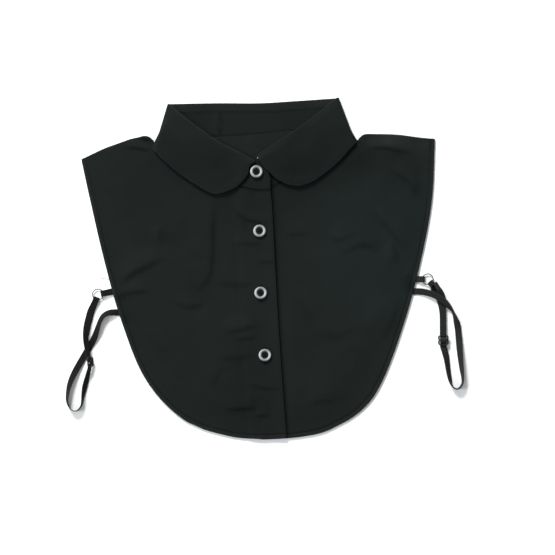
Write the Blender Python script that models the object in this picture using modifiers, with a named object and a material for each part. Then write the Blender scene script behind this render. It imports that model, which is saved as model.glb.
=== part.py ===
"""A detachable shirt collar, buttoned and laid flat on its back.

Two fronts, a back, a band (the stand) and a round-ended fall make the collar. Four buttons close it,
and an elastic strap on each side joins the back to a ring on the front. Every layer of cloth is a wall
of its own, and the layers lie on each other as they do on a table.

Sizes are in millimetres and turned into metres where a mesh is made. X runs to the right of the
picture, Y from the hem to the neck, Z up from the table.
"""

import math
from collections import namedtuple

import bmesh
import bpy
import numpy as np
from mathutils import Matrix, Vector

MM = 0.001

# Cloth and seams
CLOTH = 1.0
GAP = 0.3
LAYER = CLOTH + GAP
BACK_MID = CLOTH / 2
FRONT_MID = BACK_MID + LAYER
BACK_INSET = 1.2
SHOULDER_RIM = CLOTH / 2 + 0.65

# Collar heights, at the middle of each wall
STAND_BACK_MID = BACK_MID + LAYER
STAND_SIDE_MID = 4.5
STAND_OVER_MID = FRONT_MID + LAYER
FALL_SIDE_MID = STAND_SIDE_MID + LAYER
SIDE_CENTRE_Z = (FALL_SIDE_MID + BACK_MID) / 2
ROLL_SEAM_BACK = 8.0
ROLL_SEAM_FRONT = 3.0

# Panels
NECK_FALL_OFF = 44.0
BACK_RISE = (90.0, 116.5)
BACK_RISE_LEFT = (-136.0, -115.0)
BACK_RISE_RIGHT = (116.0, 95.0)
SIDE_RISE_LEFT = (-20.0, -94.0)
SIDE_RISE_RIGHT = (11.0, 70.0)
AIR = 1.1
AIR_EDGE = (8.0, 34.0)
AIR_NECK = (26.0, 62.0)
AIR_LAP = (1.0, 16.0)
LAP_WIDTH = 28.0
LAP_RISE = (-LAP_WIDTH - 13.0, -LAP_WIDTH - 2.0)
FOLD_EDGE = (3.0, 20.0)
FOLD_NECK = (24.0, 44.0)
FOLD_ENDS = (0.25, 0.3)

# Grids, in cells
SHOULDER_CELLS = 8
FRONT_ROWS = 23
FRONT_ROW_POWER = 1.25
SHOULDER_ROLL_CELLS = 4
BACK_ROWS = 18
BACK_ROW_POWER = 1.4
FRONT_COLUMNS = 13
BAND_END_CELLS = 2
NECK_CELLS = FRONT_COLUMNS + BAND_END_CELLS - 1
BACK_COLUMNS = 12
FOLD_CELLS = 5
FALL_ROWS = 7
DOWN_TURNS = 3.0
ROLL_CELLS = 4
STAND_ROWS = 3

# Buttons
BUTTON_BASE_Z = STAND_OVER_MID + CLOTH / 2 + GAP
BUTTON_STEPS = 22
BUTTON_HOLE_RADIUS = 0.8
BUTTON_HOLE_SPREAD = 1.35

# Straps
TAPE_WIDTH = 6.5
TAPE_NECKED = 6.1
TAPE = 1.0
TABLE_CLEAR = 0.12
LEAN_CLEAR = 0.32
RING_RADIUS = 5.4
RING_WIRE = 1.0
RING_Z = TAPE + GAP + RING_WIRE / 2
WRAP_RADIUS = RING_WIRE / 2 + GAP + TAPE / 2
WRAP_REACH = 0.8
WRAP_LEGS = (1.2, 3.4)
STRAP_WRAP_RISE = 0.55
TAB_WRAP_RISE = 0.7
BAR = 1.2
BAR_PITCH = 4.6
SLIDER_WIDTH = 11.0
SLIDER_SLOT = 7.3

Point = namedtuple("Point", "x y")
Fold = namedtuple("Fold", "x0 y0 x1 y1 width height")
Button = namedtuple("Button", "x y lift lean")
Profile = namedtuple("Profile", "radius height")
Tape = namedtuple("Tape", "x y level lean")
Colour = namedtuple("Colour", "red green blue roughness metallic")

# How far the whole collar moves so that its middle is at the origin
PLACE = Point(0.298, 0.442)

# The outline, from the shoulder tip down each side to the middle of the hem
LEFT_EDGE = [
    Point(-184, 109), Point(-175, 68), Point(-161, 8), Point(-144, -52),
    Point(-119, -112), Point(-81, -152), Point(-37, -168), Point(0, -171.5),
]
RIGHT_EDGE = [
    Point(170, 129.5), Point(167, 68), Point(156, 8), Point(140, -52), Point(118, -112),
    Point(97, -142), Point(64, -162), Point(35, -169), Point(0, -171.5), Point(-20, -170.9),
]
LEFT_SHOULDER = [
    Point(-184, 109), Point(-165, 118), Point(-149, 124), Point(-133, 129.5),
    Point(-119, 132), Point(-110.6, 127.6),
]
RIGHT_SHOULDER = [
    Point(170, 129.5), Point(147, 131.5), Point(131, 133), Point(112, 134.3),
    Point(99.5, 134.4), Point(92.8, 129.6),
]
LEFT_CORNER = Point(-119, -112)
RIGHT_CORNER = Point(118, -112)

# The lap: the edge of the buttonhole front, over the button front
LAP_EDGE = [Point(5.5, 79), Point(7.4, 54), Point(10, 3), Point(15, -82), Point(21.5, -170)]

# The fold line at the top of the collar, at the middle of its two layers
ROLL_LEFT = [
    Point(-96.3, 163), Point(-76, 146.3), Point(-49, 126.9), Point(-30, 117), Point(-10.5, 106.3),
]
ROLL_RIGHT = [
    Point(71.5, 168.8), Point(44.5, 147.4), Point(22, 131.4), Point(0, 117.2), Point(-7, 112),
]
ROLL_BACK = [
    Point(-96.3, 163), Point(-50, 163.9), Point(-6, 163.9), Point(27, 165.8), Point(71.5, 168.8),
]

# The side folds of the collar: the top of each fold's axis is the end of the fold line
SIDE_LEFT = Point(-0.287, -0.958)
SIDE_RIGHT = Point(0.402, -0.916)
SIDE_DEPTH_LEFT = 36.0
SIDE_DEPTH_RIGHT = 42.0
# How far each leaf opens out over its side fold, as a share of the fold's radius
SIDE_SPREAD = 0.45

# The outer edge of the fall, from the round front corner to the side fold
FALL_EDGE_LEFT = [
    Point(-25.5, 83.4), Point(-32.5, 78.9), Point(-44.3, 74.8), Point(-56.3, 76), Point(-81.5, 91.5),
    Point(-95, 102), Point(-107, 113.2), Point(-112, 119.8), Point(-110.6, 125.2),
]
FALL_FRONT_LEFT = [Point(-15.6, 101.5), Point(-17.6, 93), Point(-25.5, 83.4)]
FALL_EDGE_RIGHT = [
    Point(11, 91), Point(20, 86), Point(33, 83.4), Point(47.5, 87.4), Point(63, 98),
    Point(74.3, 107.5), Point(84.2, 118.4), Point(92.2, 126.6),
]
FALL_FRONT_RIGHT = [Point(-4.4, 106.4), Point(0.4, 99.6), Point(11, 89.6)]
FALL_EDGE_BACK = [
    Point(-104, 120), Point(-90, 117.5), Point(-60, 117.5), Point(-10, 119), Point(40, 120.5),
    Point(72, 120), Point(84, 123.5),
]

# The neck seam, from each side fold to the end of the band
NECK_LEFT = [
    Point(-90, 119.5), Point(-70, 108), Point(-47, 94.8), Point(-25, 82.6), Point(-9, 79), Point(5.5, 79),
]
NECK_RIGHT = [
    Point(71, 119.5), Point(53.5, 109), Point(35, 98.5), Point(18, 88), Point(0, 80), Point(-22, 78.5),
]
NECK_BACK = [
    Point(-90, 131), Point(-43, 131.8), Point(-8, 134), Point(29, 137.6), Point(60, 136), Point(74, 132),
]
BAND_TOP_LEFT = [Point(-4, 103.4), Point(2, 98)]
BAND_END_LEFT = [Point(2, 98), Point(5.0, 91), Point(5.5, 85)]
BAND_TOP_RIGHT = [Point(-11.5, 107), Point(-18.5, 100)]
BAND_END_RIGHT = [Point(-18.5, 100), Point(-21.5, 92), Point(-22, 85)]

# The largest folds of the fronts, as soft ridges
FOLDS_LEFT = [
    Fold(-150, -18, -104, 12, 9, 1.4),
    Fold(-54, 66, -54, -2, 10, 1.0),
    Fold(-54, -4, -78, -32, 8, 1.1),
    Fold(-152, 112, -116, 118, 7, 1.0),
    Fold(-84, 92, -104, 34, 13, 0.9),
    Fold(-36, -60, -6, -66, 6, 0.8),
    Fold(-60, -138, 8, -142, 9, 0.8),
]
FOLDS_RIGHT = [
    Fold(98, 116, 130, 128, 7, 1.2),
    Fold(118, 50, 140, 16, 11, 1.2),
    Fold(70, 26, 112, 18, 10, 0.9),
    Fold(142, 88, 158, 74, 7, 0.9),
    Fold(50, -62, 104, -88, 12, 0.9),
]

BUTTONS = [
    Button(-8.6, 96.4, 0.35, 2.6), Button(-5.5, 37.1, 0, 0), Button(-4.4, -24.9, 0, 0),
    Button(-0.1, -87.1, 0, 0),
]
BUTTON_PROFILE = [
    Profile(0.0, 1.3), Profile(3.5, 1.3), Profile(4.1, 2.1), Profile(4.9, 2.4), Profile(5.7, 2.2),
    Profile(6.2, 1.5), Profile(6.1, 0.7), Profile(5.0, 0.0), Profile(0.0, 0.0),
]

# Where each strap's ring, slider and ends are
RING_LEFT = Point(-167.2, -26.5)
RING_RIGHT = Point(162.8, -11.3)
SLIDER_LEFT = Point(-174.6, -93.8)
SLIDER_RIGHT = Point(178.4, -72.2)
SLIDER_LEFT_HEADING = 95.0
SLIDER_RIGHT_HEADING = 91.0
SLIDER_LEFT_LEAN = 62.0
SLIDER_RIGHT_LEAN = 0.0
TAB_LEFT_END = Point(-154.6, -24.0)
TAB_RIGHT_END = Point(153.6, -11.2)

# The single run of each strap, from the back's edge to its slider
RUN_LEFT = [
    Tape(-147.2, -44.6, 0.0, 0), Tape(-152.8, -44.5, 0.0, 24), Tape(-157.8, -45.3, 0.0, 42),
    Tape(-162.4, -48.5, 0.0, 50), Tape(-165.4, -53.8, 0.0, 52), Tape(-167.8, -61.0, 0.0, 42),
    Tape(-170.4, -69.0, 0.0, 18), Tape(-174.4, -76.8, 0.0, 2), Tape(-181.2, -88.4, 0.0, 0),
    Tape(-188.4, -100.8, 0.0, 14), Tape(-194.2, -112.8, 0.0, 36), Tape(-197.2, -124.0, 0.0, 58),
    Tape(-197.8, -134.0, 0.0, 74), Tape(-194.0, -141.4, 0.0, 84), Tape(-188.2, -142.8, 0.0, 86),
    Tape(-183.6, -137.4, 0.0, 84), Tape(-182.0, -128.6, 0.0, 74), Tape(-180.2, -118.6, 0.0, 58),
    Tape(-177.6, -108.6, 0.0, 52),
]
RUN_RIGHT = [
    Tape(148.9, -23.4, 0.0, 0), Tape(157.4, -23.8, 0.5, 14), Tape(166.4, -26.0, 2.2, 22),
    Tape(173.6, -29.4, 3.3, 24), Tape(180.0, -34.2, 3.1, 34), Tape(185.0, -39.8, 2.0, 58),
    Tape(188.3, -44.8, 1.0, 74), Tape(190.9, -51.2, 0.2, 48), Tape(192.9, -59.0, 0.0, 6),
    Tape(193.9, -68.6, 0.0, 8), Tape(194.7, -79.6, 0.0, 24), Tape(195.6, -91.0, 0.0, 46),
    Tape(196.7, -101.4, 0.0, 60), Tape(197.7, -109.6, 0.0, 74), Tape(197.0, -116.6, 0.0, 84),
    Tape(192.4, -121.0, 0.0, 86), Tape(187.4, -118.2, 0.0, 82), Tape(184.9, -111.2, 0.0, 66),
    Tape(183.0, -100.6, 0.0, 56), Tape(181.4, -89.4, 0.0, 30),
]
# The doubled run of each strap, from its slider to its ring
DOUBLE_LEFT = [
    Tape(-177.8, -80.6, 1.6, 45), Tape(-179.2, -69.5, 0.3, 36), Tape(-177.4, -57.0, 0.0, 8),
    Tape(-173.6, -43.0, 0.0, 0),
]
DOUBLE_RIGHT = [
    Tape(178.2, -56.0, 0.0, 0), Tape(177.8, -44.0, 0.0, 0), Tape(174.8, -31.4, 0.0, 0),
    Tape(169.0, -22.8, 0.0, 0),
]
# The right strap's outer layer, which has slid off the other near the ring
OUTER_RIGHT = [
    Tape(178.2, -56.0, 1.3, 0), Tape(178.0, -44.0, 1.3, 0), Tape(178.0, -34.6, 1.3, 2),
    Tape(176.7, -27.4, 1.35, 10), Tape(173.8, -20.8, 1.3, 50), Tape(169.8, -15.0, 0.6, 50),
]

# Walls that turn too sharply for one even thickness at every corner
TWISTED_WALLS = ("collar_fall", "strap_left", "strap_right")

COLOURS = {
    "cloth": Colour(0.016, 0.020, 0.019, 0.78, 0.0),
    "tape": Colour(0.022, 0.024, 0.023, 0.62, 0.0),
    "button": Colour(0.030, 0.031, 0.032, 0.28, 0.0),
    "ring": Colour(0.30, 0.30, 0.30, 0.30, 1.0),
    "slider": Colour(0.020, 0.021, 0.022, 0.35, 0.0),
}


def clear_scene():
    for thing in list(bpy.data.objects):
        bpy.data.objects.remove(thing)


def make_material(name):
    colour = COLOURS[name]
    material = bpy.data.materials.new(name)
    material.use_nodes = True
    shader = material.node_tree.nodes["Principled BSDF"]
    shader.inputs["Base Color"].default_value = (colour.red, colour.green, colour.blue, 1.0)
    shader.inputs["Roughness"].default_value = colour.roughness
    shader.inputs["Metallic"].default_value = colour.metallic
    return material


# Curves and fades

def smooth_step(low, high, value):
    t = np.clip((np.asarray(value, float) - low) / (high - low), 0, 1)
    return t * t * (3 - 2 * t)


def through(points, per_span=12):
    """A smooth curve through the points, as an array of close points."""
    p = np.array(points, float)
    p = np.vstack([2 * p[0] - p[1], p, 2 * p[-1] - p[-2]])
    t = np.linspace(0, 1, per_span, endpoint=False)[:, None]
    spans = []
    for a, b, c, d in zip(p, p[1:], p[2:], p[3:]):
        spans.append(
            0.5 * (2 * b + (c - a) * t + (2 * a - 5 * b + 4 * c - d) * t**2
                   + (3 * b - a - 3 * c + d) * t**3)
        )
    return np.vstack([*spans, p[-2][None]])


def along(line):
    """The distance of each point of a line from its start."""
    return np.concatenate([[0], np.cumsum(np.linalg.norm(np.diff(line, axis=0), axis=1))])


def even(line, cells):
    """The line again, cut into cells of one length."""
    at = along(line)
    wanted = np.linspace(0, at[-1], cells + 1)
    return np.stack([np.interp(wanted, at, line[:, k]) for k in range(line.shape[1])], axis=1)


def crowded(line, cells, power):
    """The line again, cut into cells that are shorter towards its start."""
    at = along(line)
    wanted = np.linspace(0, 1, cells + 1) ** power * at[-1]
    return np.stack([np.interp(wanted, at, line[:, k]) for k in range(line.shape[1])], axis=1)


def nearest_on(line, points):
    """The distance from each point to a line, and the nearest of the line's own points."""
    offset = points[..., None, :] - line
    distance = np.linalg.norm(offset, axis=-1)
    index = distance.argmin(axis=-1)
    return distance.min(axis=-1), index


def inset(line, by):
    """The line moved to its left by a distance."""
    tangent = np.gradient(line, axis=0)
    tangent /= np.linalg.norm(tangent, axis=1)[:, None]
    return line + np.stack([-tangent[:, 1], tangent[:, 0]], axis=1) * np.reshape(by, (-1, 1))


def fill(first_row, last_row, first_column, last_column):
    """A grid of points between four edges that meet at their ends."""
    v = np.linspace(0, 1, len(first_column))[:, None, None]
    u = np.linspace(0, 1, len(first_row))[None, :, None]
    rows = (1 - v) * first_row[None] + v * last_row[None]
    columns = (1 - u) * first_column[:, None] + u * last_column[:, None]
    corners = (1 - v) * ((1 - u) * first_row[0] + u * first_row[-1])
    corners = corners + v * ((1 - u) * last_row[0] + u * last_row[-1])
    return rows + columns - corners


def raised(grid, height):
    """A flat grid with a height for each point."""
    return np.concatenate([grid, np.broadcast_to(np.asarray(height), grid.shape[:2])[..., None]], axis=2)


# Heights of the layers

def back_height(xy):
    """The back lies on the table, and over the fall behind the neck."""
    over = smooth_step(*BACK_RISE_LEFT, xy[..., 0]) * smooth_step(*BACK_RISE_RIGHT, xy[..., 0])
    return BACK_MID + LAYER * over * smooth_step(*BACK_RISE, xy[..., 1])


def towards_side(xy, left):
    """0 at the front of the neck and 1 at the side fold."""
    return smooth_step(*(SIDE_RISE_LEFT if left else SIDE_RISE_RIGHT), xy[..., 0])


def band_height(xy, left):
    """The front of the band, one layer higher on the left side, which laps over."""
    layers = 2 if left else 1
    side_rise = STAND_SIDE_MID - BACK_MID - (layers + 1) * LAYER
    return back_height(xy) + layers * LAYER + side_rise * towards_side(xy, left)


def fall_height(xy, left):
    """The front of the fall, just over the band."""
    side_rise = FALL_SIDE_MID - BACK_MID - 4 * LAYER
    return back_height(xy) + 3 * LAYER + side_rise * towards_side(xy, left)


def fold_relief(xy, folds):
    """Soft ridges that fade towards both ends."""
    relief = np.zeros(xy.shape[:-1])
    for fold in folds:
        start = np.array([fold.x0, fold.y0])
        run = np.array([fold.x1, fold.y1]) - start
        length = np.linalg.norm(run)
        t = ((xy - start) @ run) / length**2
        away = np.abs((xy[..., 0] - start[0]) * run[1] - (xy[..., 1] - start[1]) * run[0]) / length
        beyond, within = FOLD_ENDS
        ends = smooth_step(-beyond, within, t) * smooth_step(1 + beyond, 1 - within, t)
        relief += fold.height * ends * np.exp(-((away / fold.width) ** 2))
    return relief


def lap_x(y):
    """Where the lap's edge is, at each distance down the front."""
    line = np.array(LAP_EDGE)[::-1]
    return np.interp(y, line[:, 1], line[:, 0])


def front_height(xy, seam, outline, folds, left):
    """A front: over the back, up to the neck seam, with air and folds away from its edges."""
    from_lap = xy[..., 0] - lap_x(xy[..., 1])
    base = back_height(xy) + LAYER
    if left:
        base = base + LAYER * smooth_step(*LAP_RISE, from_lap)
        from_lap = -LAP_WIDTH - from_lap
    from_seam, at = nearest_on(seam, xy)
    seam_lift = band_height(seam, left) - back_height(seam) - LAYER
    if left:
        seam_lift = seam_lift - LAYER * smooth_step(*LAP_RISE, seam[:, 0] - lap_x(seam[:, 1]))
    lift = seam_lift[at] * (1 - smooth_step(0, NECK_FALL_OFF, from_seam))
    from_edge, _ = nearest_on(outline, xy)
    lap_air = smooth_step(*AIR_LAP, from_lap)
    free = smooth_step(*AIR_EDGE, from_edge) * smooth_step(*AIR_NECK, from_seam)
    folded = smooth_step(*FOLD_EDGE, from_edge) * smooth_step(*FOLD_NECK, from_seam)
    return base + lift + (AIR * free + fold_relief(xy, folds) * folded) * lap_air


# Meshes

def new_object(name, data, material, parent, collection):
    thing = bpy.data.objects.new(name, data)
    thing.data.materials.append(material)
    thing.parent = parent
    collection.objects.link(thing)
    return thing


def cloth_wall(name, grid, even_offset, material, parent, collection):
    """A wall of cloth whose middle is a grid of points, without the points that aren't numbers."""
    rows, columns = grid.shape[:2]
    bm = bmesh.new()
    bmesh.ops.create_grid(bm, x_segments=columns - 1, y_segments=rows - 1, size=1.0)
    unused = []
    for vertex in bm.verts:
        column = round((vertex.co.x + 1) / 2 * (columns - 1))
        row = round((vertex.co.y + 1) / 2 * (rows - 1))
        if np.isnan(grid[row, column, 0]):
            unused.append(vertex)
        else:
            vertex.co = Vector(grid[row, column]) * MM
    bmesh.ops.delete(bm, geom=unused, context="VERTS")
    mesh = bpy.data.meshes.new(name)
    bm.to_mesh(mesh)
    bm.free()
    mesh.shade_smooth()
    wall = new_object(name, mesh, material, parent, collection)
    solidify = wall.modifiers.new("Cloth", "SOLIDIFY")
    solidify.thickness = CLOTH * MM
    solidify.offset = 0.0
    solidify.use_even_offset = even_offset
    return wall


# Fronts and back

def shoulder_roll(edge, outward, top, bottom):
    """Rows that take a front round its shoulder fold to the back's edge, outermost row first."""
    rows = []
    for step in range(SHOULDER_ROLL_CELLS, 0, -1):
        angle = math.pi * step / SHOULDER_ROLL_CELLS
        radius = (top - bottom) / 2
        plan = edge + outward * (radius * math.sin(angle))[:, None]
        height = (top + bottom) / 2 + radius * math.cos(angle)
        rows.append(np.concatenate([plan, height[:, None]], axis=1))
    return np.array(rows)


def edge_below(line, corner):
    """An outline cut in two at the point nearest a corner."""
    at = int(nearest_on(line, np.array(corner, float))[1])
    return line[: at + 1], line[at:]


def neck_seam(left):
    """The neck seam of one front, from the side fold to the front end."""
    return even(through(NECK_LEFT if left else NECK_RIGHT), NECK_CELLS)


def shoulder_seam(shoulder, inward, below):
    """The line where a front starts to fold over at the shoulder, or one further in for the back."""
    rim = np.linspace(SHOULDER_RIM, SHOULDER_RIM + 0.7, SHOULDER_CELLS + 1)
    return inset(even(through(shoulder), SHOULDER_CELLS), inward * (rim + below))


def front_grid(left):
    """One front: rows from the shoulder and neck to the hem, columns from the side edge to the lap."""
    edge, corner, shoulder, folds = (
        (LEFT_EDGE, LEFT_CORNER, LEFT_SHOULDER, FOLDS_LEFT) if left
        else (RIGHT_EDGE, RIGHT_CORNER, RIGHT_SHOULDER, FOLDS_RIGHT)
    )
    inward = -1.0 if left else 1.0
    seam = inset(neck_seam(left), inward * GAP / 2)
    lap = through(LAP_EDGE) - [0 if left else LAP_WIDTH, 0]
    lap[0] = seam[-1]
    side, hem = edge_below(through(edge), corner)
    hem_end = int(nearest_on(hem, lap[-1])[1])
    hem = np.vstack([hem[:hem_end], lap[-1]])
    top_edge = shoulder_seam(shoulder, inward, 0)
    side = np.vstack([top_edge[0], side[side[:, 1] < top_edge[0, 1] - 2]])
    top = np.vstack([top_edge, seam])
    plan = fill(
        top,
        even(hem, len(top) - 1),
        crowded(side, FRONT_ROWS, FRONT_ROW_POWER),
        crowded(lap, FRONT_ROWS, FRONT_ROW_POWER),
    )
    outline = np.vstack([side, hem])
    height = front_height(plan, seam, outline, folds, left)
    body = raised(plan, height)
    outward = top_edge - inset(top_edge, inward)
    roll = shoulder_roll(top_edge, outward, height[0, : len(top_edge)], back_height(top_edge))
    none = np.full((len(roll), len(seam), 3), np.nan)
    return np.vstack([np.concatenate([roll, none], axis=1), body])


def back_grid():
    """The back: rows from the neck and shoulders to the hem, columns from the left edge to the right."""
    left_line, left_hem = edge_below(through(LEFT_EDGE), LEFT_CORNER)
    right_line, right_hem = edge_below(through(RIGHT_EDGE), RIGHT_CORNER)
    right_hem = right_hem[right_hem[:, 0] > 0]
    left_top = shoulder_seam(LEFT_SHOULDER, -1, GAP)
    right_top = shoulder_seam(RIGHT_SHOULDER, 1, GAP)
    neck = inset(back_neck(), -GAP / 2)
    top = np.vstack([left_top, neck, right_top[::-1]])
    left = inset(left_line, BACK_INSET)
    left = np.vstack([top[0], left[left[:, 1] < top[0, 1] - 2]])
    right = inset(right_line, -BACK_INSET)
    right = np.vstack([top[-1], right[right[:, 1] < top[-1, 1] - 2]])
    hem = np.vstack([inset(left_hem, BACK_INSET)[:-1], inset(right_hem, -BACK_INSET)[::-1][1:]])
    hem[0], hem[-1] = left[-1], right[-1]
    plan = fill(
        top,
        even(hem, len(top) - 1),
        crowded(left, BACK_ROWS, BACK_ROW_POWER),
        crowded(right, BACK_ROWS, BACK_ROW_POWER),
    )
    return raised(plan, back_height(plan))


def back_neck():
    """The seam between the back and the band."""
    return even(through(NECK_BACK), BACK_COLUMNS - 2)


# Band and fall

class Side:
    """One side fold of the collar, where the layers turn from the front to the back."""

    def __init__(self, top, down, outward_sign, depth):
        self.top = np.array(top, float)
        self.down = np.array(down, float)
        self.outward = outward_sign * np.array([-self.down[1], self.down[0]])
        self.depth = depth

    def axis(self, h):
        return self.top + np.multiply.outer(np.asarray(h, float), self.down)

    def opened(self, h):
        """How far the leaf reaches over the fold at each depth, as a share of the fall's radius."""
        return SIDE_SPREAD * smooth_step(0.1, 1.0, np.asarray(h) / self.depth)

    def over_fold(self, h):
        """The line where the leaf meets the fold."""
        return self.axis(h) + self.outward * (FALL_FOLD_RADIUS * self.opened(h))[..., None]

    def drop(self, xy):
        """How far the leaf has turned down where it lies over the fold."""
        out = np.clip((xy - self.top) @ self.outward, 0, SIDE_SPREAD * FALL_FOLD_RADIUS)
        return FALL_FOLD_RADIUS - np.sqrt(FALL_FOLD_RADIUS**2 - out**2)

    def turn(self, h, offset, opened=None):
        """Points round the fold, from just past the front to just before the back, for one wall."""
        radius = SIDE_CENTRE_Z - BACK_MID - LAYER / 2 + offset
        first = np.arccos(np.zeros(len(radius)) if opened is None else opened)[:, None]
        share = np.linspace(0, 1, FOLD_CELLS + 1)[None, 1:-1]
        angles = first * (1 - share) - math.pi / 2 * share
        outward = self.outward * (radius[:, None] * np.cos(angles))[..., None]
        plan = self.axis(h)[:, None, :] + outward
        height = SIDE_CENTRE_Z + radius[:, None] * np.sin(angles)
        return np.concatenate([plan, height[..., None]], axis=2)


FALL_FOLD_RADIUS = SIDE_CENTRE_Z - BACK_MID
LEFT_SIDE = Side(ROLL_LEFT[0], SIDE_LEFT, -1, SIDE_DEPTH_LEFT)
RIGHT_SIDE = Side(ROLL_RIGHT[0], SIDE_RIGHT, 1, SIDE_DEPTH_RIGHT)


def downward(roll, side):
    """The direction from the fold line into the collar, along a front roll that starts at the side."""
    tangent = np.gradient(roll, axis=0)
    tangent /= np.linalg.norm(tangent, axis=1)[:, None]
    square = np.stack([-tangent[:, 1], tangent[:, 0]], axis=1)
    square *= np.where((square @ side.down) < 0, -1.0, 1.0)[:, None]
    blend = np.clip(np.linspace(0, DOWN_TURNS, len(roll))[:, None], 0, 1)
    down = (1 - blend) * side.down + blend * square
    return down / np.linalg.norm(down, axis=1)[:, None]


def front_strip(roll, side, h, offset, left):
    """Points at a depth h below a front fold line, at an offset from the middle of the two layers."""
    down = downward(roll, side)
    plan = roll + down * np.reshape(h, (-1, 1))
    inner, outer = band_height(plan, left), fall_height(plan, left)
    middle = (inner + outer) / 2
    half = (outer - inner) / 2
    return np.concatenate([plan, (middle + half * offset)[:, None]], axis=1)


def back_strip(h, offset):
    roll = even(through(ROLL_BACK), BACK_COLUMNS)
    down = np.linspace(LEFT_SIDE.down, RIGHT_SIDE.down, BACK_COLUMNS + 1)
    middle = BACK_MID + LAYER / 2
    plan = roll + down * h
    height = np.full(len(plan), middle - LAYER / 2 * offset)
    return np.concatenate([plan, height[:, None]], axis=1)


def collar_row(h_front, h_side, h_back, offset):
    """One row of a wall right round the collar, from the left front to the right front.

    The offset is 1 on the fall, -1 on the band, and between them where the cloth turns over the top."""
    left_roll = even(through(ROLL_LEFT), FRONT_COLUMNS)
    right_roll = even(through(ROLL_RIGHT), FRONT_COLUMNS)
    ramp = np.linspace(0, 1, FRONT_COLUMNS + 1)
    depth = h_side + (h_front - h_side) * ramp
    left = front_strip(left_roll, LEFT_SIDE, depth, offset, True)[::-1]
    right = front_strip(right_roll, RIGHT_SIDE, depth, offset, False)
    half = np.array([LAYER / 2 * offset])
    left_turn = LEFT_SIDE.turn(np.array([h_side]), half)[0]
    right_turn = RIGHT_SIDE.turn(np.array([h_side]), half)[0][::-1]
    return np.vstack([left, left_turn, back_strip(h_back, offset), right_turn, right])


def fall_outer():
    """The rows of the fall below its fold line, right round the collar."""
    parts = []
    for roll, side, edge, end, left in (
        (ROLL_LEFT, LEFT_SIDE, FALL_EDGE_LEFT, FALL_FRONT_LEFT, True),
        (ROLL_RIGHT, RIGHT_SIDE, FALL_EDGE_RIGHT, FALL_FRONT_RIGHT, False),
    ):
        top = even(through(roll), FRONT_COLUMNS)[::-1]
        bottom = even(np.vstack([through(edge), side.over_fold(np.array([side.depth]))]), FRONT_COLUMNS)
        free_end = even(through([Point(*top[0]), *end]), FALL_ROWS)
        at_fold = side.over_fold(np.linspace(0, side.depth, FALL_ROWS + 1))
        plan = fill(top, bottom, free_end, at_fold)
        parts.append(raised(plan, fall_height(plan, left) - side.drop(plan)))
    left, right = parts
    depth_left = np.linspace(0, LEFT_SIDE.depth, FALL_ROWS + 1)
    depth_right = np.linspace(0, RIGHT_SIDE.depth, FALL_ROWS + 1)
    half = np.full(FALL_ROWS + 1, LAYER / 2)
    behind = np.vstack([
        LEFT_SIDE.axis(LEFT_SIDE.depth), through(FALL_EDGE_BACK), RIGHT_SIDE.axis(RIGHT_SIDE.depth),
    ])
    back = fill(
        even(through(ROLL_BACK), BACK_COLUMNS),
        even(behind, BACK_COLUMNS),
        LEFT_SIDE.axis(depth_left),
        RIGHT_SIDE.axis(depth_right),
    )
    left_turn = LEFT_SIDE.turn(depth_left, half, LEFT_SIDE.opened(depth_left))
    right_turn = RIGHT_SIDE.turn(depth_right, half, RIGHT_SIDE.opened(depth_right))
    return np.concatenate(
        [left, left_turn, raised(back, BACK_MID), right_turn[:, ::-1], right[:, ::-1]], axis=1
    )


def fall_grid():
    """The fall: from its seam with the band, up, over the fold line and down to its outer edge."""
    rows = [
        collar_row(ROLL_SEAM_FRONT, ROLL_SEAM_BACK, ROLL_SEAM_BACK, -1.0),
        collar_row(ROLL_SEAM_FRONT / 2, ROLL_SEAM_BACK / 2, ROLL_SEAM_BACK / 2, -1.0),
    ]
    for step in range(ROLL_CELLS):
        angle = math.pi * (1 - step / ROLL_CELLS)
        lift = -LAYER / 2 * math.sin(angle)
        rows.append(collar_row(lift, lift, lift, math.cos(angle)))
    return np.concatenate([np.array(rows), fall_outer()], axis=0)


def band_grid():
    """The band: from its seam with the fall down to the neck seam."""
    seam = (ROLL_SEAM_FRONT + GAP, ROLL_SEAM_BACK + GAP)
    top = collar_row(seam[0], seam[1], seam[1], -1.0)
    half = np.full(STAND_ROWS + 1, -LAYER / 2)
    parts = []
    for side, beyond, end, left, under_fall in (
        (LEFT_SIDE, BAND_TOP_LEFT, BAND_END_LEFT, True, top[: FRONT_COLUMNS + 1, :2]),
        (RIGHT_SIDE, BAND_TOP_RIGHT, BAND_END_RIGHT, False, top[-FRONT_COLUMNS - 1:, :2][::-1]),
    ):
        neck = inset(neck_seam(left), GAP / 2 * (1 if left else -1))
        bottom = np.vstack([neck[::-1], side.axis([side.depth - GAP])])
        beyond = even(through([under_fall[0], *beyond]), BAND_END_CELLS)[:0:-1]
        free_end = even(np.vstack([through(end), bottom[0]]), STAND_ROWS)
        depth = np.linspace(seam[1], side.depth - GAP, STAND_ROWS + 1)
        plan = fill(np.vstack([beyond, under_fall]), bottom, free_end, side.axis(depth))
        parts.append((raised(plan, band_height(plan, left)), side.turn(depth, half)))
    back_top = back_strip(seam[1], -1.0)[:, :2]
    neck = np.vstack([
        LEFT_SIDE.axis([LEFT_SIDE.depth - GAP]), inset(back_neck(), GAP / 2),
        RIGHT_SIDE.axis([RIGHT_SIDE.depth - GAP]),
    ])
    back = fill(
        back_top,
        neck,
        LEFT_SIDE.axis(np.linspace(seam[1], LEFT_SIDE.depth - GAP, STAND_ROWS + 1)),
        RIGHT_SIDE.axis(np.linspace(seam[1], RIGHT_SIDE.depth - GAP, STAND_ROWS + 1)),
    )
    (left, left_turn), (right, right_turn) = parts
    return np.concatenate(
        [left, left_turn, raised(back, STAND_BACK_MID), right_turn[:, ::-1], right[:, ::-1]], axis=1
    )


# Buttons

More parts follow.
